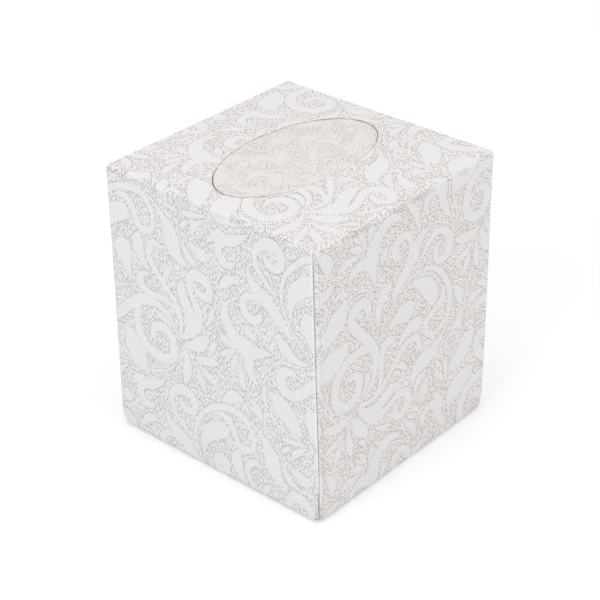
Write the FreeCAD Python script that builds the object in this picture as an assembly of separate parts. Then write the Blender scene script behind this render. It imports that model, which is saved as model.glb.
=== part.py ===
"""A cube tissue box covered in scroll-woven cloth, in millimetres, +Z up.

The origin is the centre of the base. The oval's long axis lies along X. The front is the -Y side.
"""
import FreeCAD, Part
import math
import os

from FreeCAD import Vector

# Outside of the covered box
WIDTH = 115.4
DEPTH = 116.9
HEIGHT = 129.5
EDGE_RADIUS = 2.2
BASE_CORNER_RADIUS = 8.0

# Cloth cover: one cross-shaped sheet, lapped at the upright corners and turned under the base
CLOTH = 0.5
SATIN = 0.15
HEM_WIDTH = 13.0
MITRE_GAP = 0.6
MITRE_STOP = 4.0
LAP_SETBACK = 1.3
LAP_GROOVE_WIDTH = 0.4
LAP_GROOVE_DEPTH = 0.3

# Folding carton under the cloth
BOARD = 1.0
INNER_FLAP_LENGTH = 45.0
FLAP_SLIT = 0.8
GLUE_FLAP_WIDTH = 15.0

# Oval panel cut free in the top
OVAL_LENGTH = 89.4
OVAL_BREADTH = 47.7
OVAL_X = -1.9
OVAL_Y = 0.4
PANEL_GAP = 0.45
PANEL_DROP = 0.1

# Dispensing film glued under the top
FILM = 0.1
FILM_SIDE_CLEARANCE = 2.0
FILM_MARGIN = 7.0
FILM_SLIT_LENGTH = 72.0
FILM_SLIT_WIDTH = 0.4

# Pack of folded tissues, bent into an arch
STACK_SIDE_CLEARANCE = 0.5
STACK_HEADROOM = 3.0
STACK_SHOULDER_RADIUS = 34.0
STACK_LEG_GAP = 3.0

# Woven scroll pattern: the steps from repeat to repeat, and where its fan's hub lies on the front
REPEAT_WIDTH = 86.0
REPEAT_STAGGER = 53.5
REPEAT_LENGTH = 107.0
REPEAT_LEAN = -1.4
HUB_X = -34.1
HUB_Z = 46.4

# How far the pattern has been pulled out of place on the top and the left
TOP_PULL_ACROSS = -0.8
TOP_PULL_BACK = 1.8
LEFT_PULL_UP = -4.5
LEFT_PULL_BACK = 0.2

# Strokes of the pattern: size of one unit of their table, and what is too small to show
SCROLL_UNIT = 1.0
SMALLEST_FIELD = 3.0
CUT_MARGIN = 0.3
CUT_SIDES = 72

# Each stroke is a spine of (across, up, width) in scroll units from the fan's hub
SCROLLS = {
    "spiral": [(12.4, 20.5, 3.0), (5, 25.1, 4.2), (-5.5, 23.8, 4.8), (-12, 17, 5.0), (-12, 7.5, 5.0), (-5, 3.0, 4.7),
               (1.6, 5.6, 4.8), (2.2, 12.6, 4.7), (-2.4, 15.7, 3.0), (-6.6, 14.2, 0.8)],
    "curl above": [(7.3, 38.8, 1.8), (7.6, 44.8, 4.2), (2.5, 47.6, 5.2), (-2.6, 43.2, 5.0), (5, 31.6, 4.8),
                   (12.3, 21.5, 5.0), (13, 10.5, 3.3), (8.6, 3.6, 2.3), (1.5, 0.4, 0.7)],
    "upright hook": [(13.5, -0.4, 1.0), (17.1, 7, 3.2), (17.4, 18, 3.9), (22.2, 21.9, 4.8), (26.8, 15.2, 0.6)],
    "hook scroll": [(2, -0.9, 1.0), (11, -2.4, 2.4), (20, 1.9, 2.8), (29, 11, 3.2), (36.5, 15.2, 3.4), (42.4, 11.6, 3.2),
                    (40.2, 6.8, 0.8)],
    "bean": [(19.5, 27.4, 0.6), (27, 29.6, 6.4), (34.5, 30.4, 9.6), (38.6, 30.4, 3.0)],
    "low bean": [(28, 14.6, 0.6), (35, 20.6, 5.8), (41.6, 21.2, 5.8), (45.2, 19.8, 1.2)],
    "big arc": [(17, 30.2, 0.8), (27, 40.6, 1.4), (40, 46, 1.7), (53, 42.6, 2.4), (62.4, 30, 3.2), (62.8, 17, 3.2),
                (54.5, 10.8, 2.6), (47, 15, 3.6), (51.4, 21.7, 3.6), (58.8, 27, 3.4), (58, 32.6, 0.6)],
    "arc drop": [(33, 41.0, 0.8), (42, 40.6, 5.0), (49.4, 34, 8.4), (52.2, 27.2, 6.4), (53, 25.0, 2.4)],
    "wave leaf": [(2, -2.0, 0.8), (9.5, -8.4, 7.6), (19, -6.4, 6.4), (27, -3.6, 4.8), (31.3, -5.0, 0.6)],
    "low scroll": [(9, -11.4, 3.4), (18, -13.2, 4.0), (29, -8.8, 3.8), (35, -11.4, 5.1), (34.8, -17.6, 5.1),
                   (29.6, -20.7, 3.9), (26.6, -16, 3.7), (29.4, -12.8, 1.6)],
    "petal west": [(-1.4, -1.8, 0.6), (-10, -4.9, 4.9), (-19.5, -2.7, 1.8)],
    "petal south east": [(-0.9, -4.4, 0.9), (1.8, -11, 6.2), (7.6, -17.6, 2.8)],
    "petal south": [(-4.2, -9.6, 1.0), (-3.6, -18, 4.6), (-2.6, -22.8, 1.8)],
    "fork east": [(12.7, 51.4, 0.7), (10.4, 62, 7.0), (11.4, 70, 9.0), (19, 77.8, 5.6), (29.6, 75, 0.6)],
    "fork west": [(9.6, 63.5, 5.0), (1.5, 65.4, 5.0), (-4.3, 60.6, 0.8)],
    "upright drop": [(16, 31.4, 0.6), (15.4, 40, 4.6), (19.4, 46.6, 5.6), (22.4, 48.6, 2.0)],
    "high curl": [(33, 53, 2.6), (35.9, 61, 3.1), (31.4, 67.4, 4.0), (25.2, 63.4, 4.6), (29.4, 58, 1.2)],
    "high trunk": [(23.6, 39.8, 0.6), (30, 47.2, 5.8), (38, 56.6, 6.2), (43, 63.2, 3.2), (50, 63.9, 0.6)],
    "high scroll": [(37, 46.8, 0.6), (44.4, 54.2, 2.4), (53, 60.2, 2.9), (61.2, 55.2, 5.0), (59.8, 46.2, 4.6),
                    (53, 47.2, 3.5), (54.4, 54, 2.4), (57.4, 54.3, 1.0)],
    "loop": [(63.6, -43, 0.8), (58.4, -34.4, 5.0), (55.6, -27.8, 4.8), (48.6, -28, 4.2), (46.9, -33.6, 2.8),
             (48.8, -35.8, 0.8)],
    "broad leaf": [(-22, 19.8, 1.0), (-17.6, 26, 11.2), (-8.6, 30.6, 8.8), (-4.4, 33.8, 1.6)],
    "tall leaf": [(-20.4, 36.6, 0.8), (-14, 43.4, 9.4), (-9, 49.2, 9.0), (-6.2, 53.2, 2.6)],
    "arc leaf": [(38, -8.8, 0.8), (42, -2, 7.4), (49, 0.8, 8.9), (56, 4.4, 3.8), (63.4, 13.6, 1.0)],
    "side drop": [(49.6, -8.8, 0.6), (46.6, -15.6, 5.6), (46.4, -21.4, 1.8)],
    "lone drop": [(66.3, 28.5, 0.8), (70.6, 22.4, 5.6), (70.6, 16, 1.0)],
}

OUT_DIR = "parts"


def box(low_x, low_y, low_z, high_x, high_y, high_z):
    """Returns a block between two corners."""
    return Part.makeBox(high_x - low_x, high_y - low_y, high_z - low_z, Vector(low_x, low_y, low_z))


def cloth_half_width():
    """Returns half the width of the cloth's plain ground, under the raised satin."""
    return WIDTH / 2 - SATIN


def cloth_half_depth():
    """Returns half the depth of the cloth's plain ground, under the raised satin."""
    return DEPTH / 2 - SATIN


def cloth_top():
    """Returns the height of the cloth's plain ground on the top."""
    return HEIGHT - SATIN


def corner_trim(side_x, side_y, inset):
    """Returns the cutter that rounds one bottom corner, seen along the diagonal."""
    radius = BASE_CORNER_RADIUS - inset
    diagonal = Vector(side_x, side_y, 0).normalize()
    corner = Vector(side_x * (cloth_half_width() - inset), side_y * (cloth_half_depth() - inset), inset)
    edge_back = (EDGE_RADIUS - inset) * (math.sqrt(2) - 1)
    centre = corner - diagonal * (edge_back + radius) + Vector(0, 0, radius)
    span = 3 * radius
    block = Part.makeBox(span, span, span, Vector(0, -span / 2, -span))
    turn = FreeCAD.Rotation(Vector(1, 0, 0), diagonal)
    block.Placement = FreeCAD.Placement(centre, turn)
    across = Vector(-diagonal.y, diagonal.x, 0)
    rounding = Part.makeCylinder(radius, span, centre - across * (span / 2), across)
    return block.cut(rounding)


def envelope(inset):
    """Returns the rounded block that lies a given depth under the cloth's ground surface."""
    half_x = cloth_half_width() - inset
    half_y = cloth_half_depth() - inset
    block = box(-half_x, -half_y, inset, half_x, half_y, cloth_top() - inset)
    rounded = block.makeFillet(EDGE_RADIUS - inset, block.Edges)
    trims = [corner_trim(side_x, side_y, inset) for side_x in (-1, 1) for side_y in (-1, 1)]
    return rounded.cut(trims)


def oval_prism(shrink, low_z, high_z):
    """Returns an upright oval prism, smaller all round than the opening by shrink."""
    ellipse = Part.Ellipse(Vector(OVAL_X, OVAL_Y, low_z), OVAL_LENGTH / 2 - shrink, OVAL_BREADTH / 2 - shrink)
    face = Part.Face(Part.Wire([ellipse.toShape()]))
    return face.extrude(Vector(0, 0, high_z - low_z))


def lap_groove(side_x, side_y, turn_deg):
    """Returns the cutter for the shadow line beside one folded lap on a rounded upright edge."""
    centre = Vector(side_x * (cloth_half_width() - EDGE_RADIUS), side_y * (cloth_half_depth() - EDGE_RADIUS), 0)
    lean = math.degrees(math.asin((EDGE_RADIUS - LAP_SETBACK) / EDGE_RADIUS))
    low = BASE_CORNER_RADIUS
    high = cloth_top() - EDGE_RADIUS
    cutter = box(
        EDGE_RADIUS - LAP_GROOVE_DEPTH, -LAP_GROOVE_WIDTH / 2, low,
        EDGE_RADIUS + LAP_GROOVE_DEPTH, LAP_GROOVE_WIDTH / 2, high)
    cutter.rotate(Vector(0, 0, 0), Vector(0, 0, 1), turn_deg + lean)
    cutter.translate(centre)
    return cutter


def lap_grooves():
    """Returns one groove at each upright edge: each side's cloth laps over the next side's."""
    grooves = []
    for side_x in (-1, 1):
        for side_y in (-1, 1):
            turn = math.degrees(math.atan2(side_y, side_x) - math.pi / 4)
            grooves.append(lap_groove(side_x, side_y, turn))
    return grooves


def hem_window():
    """Returns the cutter for the middle of the base, where the turned hem leaves the carton bare."""
    half_x = cloth_half_width() - HEM_WIDTH
    half_y = cloth_half_depth() - HEM_WIDTH
    return box(-half_x, -half_y, -CLOTH, half_x, half_y, CLOTH * 1.5)


def hem_mitres():
    """Returns the cutters for the slits where two turned hems meet at each corner of the base."""
    cutters = []
    for side_x in (-1, 1):
        for side_y in (-1, 1):
            inner = Vector(side_x * (cloth_half_width() - HEM_WIDTH), side_y * (cloth_half_depth() - HEM_WIDTH), 0)
            reach = (HEM_WIDTH - MITRE_STOP) * math.sqrt(2)
            slit = box(-MITRE_GAP, -MITRE_GAP / 2, -CLOTH, reach, MITRE_GAP / 2, CLOTH * 1.5)
            slit.rotate(Vector(0, 0, 0), Vector(0, 0, 1), math.degrees(math.atan2(side_y, side_x)))
            slit.translate(inner)
            cutters.append(slit)
    return cutters


def make_fabric_cover():
    """Returns the cloth cover: a skin over the top and sides, with its hem turned under the base."""
    skin = envelope(0).cut(envelope(CLOTH))
    opening = oval_prism(0, cloth_top() - 2 * CLOTH, HEIGHT + CLOTH)
    return skin.cut([opening, hem_window()] + hem_mitres() + lap_grooves())


def make_carton():
    """Returns the folded and glued carton, with its oval opening and its base flaps."""
    outer = envelope(CLOTH)
    inner = envelope(CLOTH + BOARD)
    shell = outer.cut(inner)
    inside_x = cloth_half_width() - CLOTH - BOARD
    inside_y = cloth_half_depth() - CLOTH - BOARD
    floor = CLOTH + BOARD
    roof = cloth_top() - CLOTH - BOARD
    flaps = [
        box(-inside_x, -inside_y, floor, -inside_x + INNER_FLAP_LENGTH, inside_y, floor + BOARD),
        box(inside_x - INNER_FLAP_LENGTH, -inside_y, floor, inside_x, inside_y, floor + BOARD),
        box(inside_x - BOARD, inside_y - GLUE_FLAP_WIDTH, floor, inside_x, inside_y, roof - FILM),
    ]
    carton = shell.fuse([flap.common(inner) for flap in flaps]).removeSplitter()
    meeting_slit = box(
        -inside_x, -FLAP_SLIT / 2, CLOTH - BOARD / 2,
        inside_x, FLAP_SLIT / 2, floor)
    opening = oval_prism(0, roof - BOARD / 2, HEIGHT)
    return carton.cut([meeting_slit, opening])


def make_oval_panel():
    """Returns the oval panel that lies loose in its opening, cloth and board together."""
    low = cloth_top() - CLOTH - BOARD
    return oval_prism(PANEL_GAP, low, cloth_top() - PANEL_DROP)


def make_slit_film():
    """Returns the thin film glued under the top, with the slit that the tissues come through."""
    roof = cloth_top() - CLOTH - BOARD
    half_x = cloth_half_width() - CLOTH - BOARD - FILM_SIDE_CLEARANCE
    half_y = OVAL_BREADTH / 2 + FILM_MARGIN
    sheet = box(-half_x, OVAL_Y - half_y, roof - FILM, half_x, OVAL_Y + half_y, roof)
    slit = box(
        OVAL_X - FILM_SLIT_LENGTH / 2, OVAL_Y - FILM_SLIT_WIDTH / 2, roof - 2 * FILM,
        OVAL_X + FILM_SLIT_LENGTH / 2, OVAL_Y + FILM_SLIT_WIDTH / 2, roof + FILM)
    return sheet.cut(slit)


def arch_wire(half_y, low, high):
    """Returns the closed outline of the bent pack, in the YZ plane."""
    shoulder = STACK_SHOULDER_RADIUS
    bend = STACK_LEG_GAP / 2
    crotch = high - (half_y - bend)
    half_turn = math.sqrt(0.5)
    points = [
        Vector(0, -half_y, low), Vector(0, -half_y, high - shoulder), Vector(0, -half_y + shoulder, high),
        Vector(0, half_y - shoulder, high), Vector(0, half_y, high - shoulder), Vector(0, half_y, low),
        Vector(0, bend, low), Vector(0, bend, crotch), Vector(0, -bend, crotch), Vector(0, -bend, low)]
    left_mid = Vector(0, -half_y + shoulder * (1 - half_turn), high - shoulder * (1 - half_turn))
    right_mid = Vector(0, half_y - shoulder * (1 - half_turn), high - shoulder * (1 - half_turn))
    edges = [
        Part.makeLine(points[0], points[1]),
        Part.Arc(points[1], left_mid, points[2]).toShape(),
        Part.makeLine(points[2], points[3]),
        Part.Arc(points[3], right_mid, points[4]).toShape(),
        Part.makeLine(points[4], points[5]),
        Part.makeLine(points[5], points[6]),
        Part.makeLine(points[6], points[7]),
        Part.Arc(points[7], Vector(0, 0, crotch + bend), points[8]).toShape(),
        Part.makeLine(points[8], points[9]),
        Part.makeLine(points[9], points[0]),
    ]
    return Part.Wire(edges)


def make_tissue_stack():
    """Returns the pack of folded tissues, bent over into an arch that fills the carton."""
    inside_x = cloth_half_width() - CLOTH - BOARD
    inside_y = cloth_half_depth() - CLOTH - BOARD
    low = CLOTH + 2 * BOARD
    high = cloth_top() - CLOTH - BOARD - FILM - STACK_HEADROOM
    low_x = -inside_x + STACK_SIDE_CLEARANCE
    high_x = inside_x - BOARD - STACK_SIDE_CLEARANCE
    profile = Part.Face(arch_wire(inside_y - STACK_SIDE_CLEARANCE, low, high))
    profile.translate(Vector(low_x, 0, 0))
    bent = profile.extrude(Vector(high_x - low_x, 0, 0))
    return bent.common(envelope(CLOTH + BOARD + STACK_SIDE_CLEARANCE))


def stroke_outline(spine):
    """Returns the outline points of a stroke, given its spine of (across, up, width)."""
    left = []
    right = []
    last = len(spine) - 1
    for index, (across, up, width) in enumerate(spine):
        before = spine[max(index - 1, 0)]
        after = spine[min(index + 1, last)]
        run = Vector(after[0] - before[0], after[1] - before[1], 0).normalize()
        side = Vector(-run.y, run.x, 0) * (width / 2)
        left.append((Vector(across, up, 0) + side) * SCROLL_UNIT)
        right.append((Vector(across, up, 0) - side) * SCROLL_UNIT)
    return left + right[::-1]


def stroke_face(spine):
    """Returns a stroke as a flat face."""
    points = stroke_outline(spine)
    return Part.Face(Part.makePolygon(points + [points[0]]))


def make_repeat():
    """Returns the flat fields of one repeat of the woven pattern, joined where strokes run together."""
    faces = [stroke_face(spine) for spine in SCROLLS.values()]
    return faces[0].fuse(faces[1:]).removeSplitter().Faces


class ClothSide:
    """One side of the box, as a window on the unfolded cloth."""

    def __init__(self, origin, across, up, low, high, bevelled, pull=Vector(0, 0, 0), opening=None):
        self.origin = origin
        self.across = across
        self.up = up
        self.low = low
        self.high = high
        self.bevelled = bevelled
        self.pull = pull
        self.opening = opening

    def placement(self):
        """Returns the placement that lays the unfolded cloth on this side."""
        out = self.across.cross(self.up)
        matrix = FreeCAD.Matrix(
            self.across.x, self.up.x, out.x, self.origin.x,
            self.across.y, self.up.y, out.y, self.origin.y,
            self.across.z, self.up.z, out.z, self.origin.z,
            0, 0, 0, 1)
        return FreeCAD.Placement(matrix)

    def window(self):
        """Returns the flat part of the side, without the trimmed corners at the base."""
        low = self.low
        high = self.high
        frame = Part.makePlane(high.x - low.x, high.y - low.y, low)
        for corner in self.bevelled:
            notch = Part.makePlane(2 * EDGE_RADIUS, 2 * EDGE_RADIUS, Vector(-EDGE_RADIUS, -EDGE_RADIUS, 0))
            notch.rotate(Vector(0, 0, 0), Vector(0, 0, 1), 45)
            notch.translate(corner)
            frame = frame.cut(notch)
        if self.opening is not None:
            frame = frame.cut(self.opening)
        return frame


def fold_shortcut():
    """Returns how much shorter the cloth's way over a rounded edge is than over a sharp one."""
    return EDGE_RADIUS * (2 - math.pi / 2)


def cloth_sides():
    """Returns the five sides of the box that the unfolded cloth covers."""
    cut_line = Part.Ellipse(Vector(OVAL_X, OVAL_Y, 0), OVAL_LENGTH / 2 + CUT_MARGIN, OVAL_BREADTH / 2 + CUT_MARGIN)
    sides = [cut_line.value(2 * math.pi * step / CUT_SIDES) for step in range(CUT_SIDES)]
    opening = Part.Face(Part.makePolygon(sides + [sides[0]]))
    half_x = WIDTH / 2
    half_y = DEPTH / 2
    edge = EDGE_RADIUS + SATIN
    shortcut = fold_shortcut()
    reach = HEIGHT - edge - shortcut
    base = HEIGHT - EDGE_RADIUS - shortcut
    start = edge - shortcut
    right = Vector(1, 0, 0)
    back = Vector(0, 1, 0)
    above = Vector(0, 0, 1)
    top = ClothSide(
        Vector(0, 0, HEIGHT - SATIN), right, back,
        Vector(-half_x + edge, -half_y + edge, 0), Vector(half_x - edge, half_y - edge, 0), [],
        Vector(TOP_PULL_ACROSS, TOP_PULL_BACK, 0), opening)
    front = ClothSide(
        Vector(0, -half_y + SATIN, HEIGHT + half_y - shortcut), right, above,
        Vector(-half_x + edge, -half_y - base, 0), Vector(half_x - edge, -half_y - start, 0),
        [Vector(-half_x + edge, -half_y - base, 0), Vector(half_x - edge, -half_y - base, 0)])
    rear = ClothSide(
        Vector(0, half_y - SATIN, HEIGHT + half_y - shortcut), right, -above,
        Vector(-half_x + edge, half_y + start, 0), Vector(half_x - edge, half_y + base, 0),
        [Vector(-half_x + edge, half_y + base, 0), Vector(half_x - edge, half_y + base, 0)])
    left = ClothSide(
        Vector(-half_x + SATIN, 0, HEIGHT + half_x - shortcut), above, back,
        Vector(-half_x - base, -half_y + edge, 0), Vector(-half_x - start, half_y - edge, 0),
        [Vector(-half_x - base, -half_y + edge, 0), Vector(-half_x - base, half_y - edge, 0)],
        Vector(LEFT_PULL_UP, LEFT_PULL_BACK, 0))
    right_side = ClothSide(
        Vector(half_x - SATIN, 0, HEIGHT + half_x - shortcut), -above, back,
        Vector(half_x + start, -half_y + edge, 0), Vector(half_x + base, half_y - edge, 0),
        [Vector(half_x + base, -half_y + edge, 0), Vector(half_x + base, half_y - edge, 0)])
    return {"top": top, "front": front, "back": rear, "left": left, "right": right_side}


def pattern_on(side, repeat):
    """Returns the raised satin fields that show on one side of the box."""
    window = side.window()
    hub = Vector(HUB_X, -DEPTH / 2 - (HEIGHT - HUB_Z) + fold_shortcut(), 0) + side.pull
    step_across = Vector(REPEAT_WIDTH, REPEAT_STAGGER, 0)
    step_along = Vector(REPEAT_LEAN, REPEAT_LENGTH, 0)
    fields = []
    for across in range(-5, 6):
        for along in range(-5, 6):
            step = hub + step_across * across + step_along * along
            for face in repeat:
                bounds = face.BoundBox
                if (bounds.XMax + step.x < side.low.x or bounds.XMin + step.x > side.high.x
                        or bounds.YMax + step.y < side.low.y or bounds.YMin + step.y > side.high.y):
                    continue
                copy = face.copy()
                copy.translate(step)
                fields += copy.common(window).Faces
    return [field for field in fields if field.Area > SMALLEST_FIELD]


def make_scrolls(side, repeat):
    """Returns the satin fields of one side as thin raised solids."""
    solids = [field.extrude(Vector(0, 0, SATIN)) for field in pattern_on(side, repeat)]
    scrolls = Part.makeCompound(solids)
    scrolls.Placement = side.placement()
    return scrolls


def build():
    """Returns every node of the box by name."""
    nodes = {
        "fabric_cover": make_fabric_cover(),
        "carton": make_carton(),
        "oval_panel": make_oval_panel(),
        "slit_film": make_slit_film(),
        "tissue_stack": make_tissue_stack(),
    }
    repeat = make_repeat()
    for name, side in cloth_sides().items():
        nodes["woven_scrolls_" + name] = make_scrolls(side, repeat)
    return nodes


def main():
    """Builds every node and writes it as a STEP file."""
    os.makedirs(OUT_DIR, exist_ok=True)
    for name, shape in build().items():
        shape.exportStep(os.path.join(OUT_DIR, name + ".step"))


main()
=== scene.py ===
"""A cube tissue box covered in scroll-woven cloth, dressed for a plain studio view.

Sizes are in millimetres in the row frame, and meshes are made in metres. The cloth is laid out flat
first, as one cross-shaped sheet with its woven pattern, and then folded round the rounded box.
"""

import logging
import math
from dataclasses import dataclass
from enum import Enum
from typing import Callable, Dict, Iterable, List, NamedTuple, Optional, Sequence, Tuple

import bpy
from mathutils import Matrix, Vector, noise
from mathutils.geometry import delaunay_2d_cdt

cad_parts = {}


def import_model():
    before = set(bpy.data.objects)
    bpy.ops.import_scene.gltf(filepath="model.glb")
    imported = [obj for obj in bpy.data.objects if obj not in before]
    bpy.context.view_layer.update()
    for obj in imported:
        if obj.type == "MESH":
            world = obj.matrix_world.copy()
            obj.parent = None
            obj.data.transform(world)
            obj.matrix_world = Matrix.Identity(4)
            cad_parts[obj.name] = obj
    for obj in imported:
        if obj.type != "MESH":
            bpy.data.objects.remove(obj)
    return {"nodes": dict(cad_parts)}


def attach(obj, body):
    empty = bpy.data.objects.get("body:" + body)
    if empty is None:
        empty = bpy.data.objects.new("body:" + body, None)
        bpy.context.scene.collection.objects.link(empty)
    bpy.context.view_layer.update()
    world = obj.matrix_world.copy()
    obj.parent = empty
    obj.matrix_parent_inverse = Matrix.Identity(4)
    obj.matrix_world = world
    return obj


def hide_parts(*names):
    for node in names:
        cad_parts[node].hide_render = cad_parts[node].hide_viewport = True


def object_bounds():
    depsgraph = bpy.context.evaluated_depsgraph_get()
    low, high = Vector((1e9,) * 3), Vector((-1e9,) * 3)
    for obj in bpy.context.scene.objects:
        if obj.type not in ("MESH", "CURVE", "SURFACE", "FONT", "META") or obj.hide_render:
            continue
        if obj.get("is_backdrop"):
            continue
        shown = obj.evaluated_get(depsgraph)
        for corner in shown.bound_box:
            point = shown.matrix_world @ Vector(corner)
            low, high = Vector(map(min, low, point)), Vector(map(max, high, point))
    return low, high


LOG = logging.getLogger("tissue_box")
MM = 0.001

Point = Tuple[float, float]
Triple = Tuple[float, float, float]
Spine = Sequence[Triple]

# The distance between threads and the step that a surface's slope is found over, in mm.
THREAD_PITCH = 0.707
SLOPE_STEP = 0.05
# The slant of the weave's diagonal grain.
GRAIN_TURN = math.radians(42)

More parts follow.
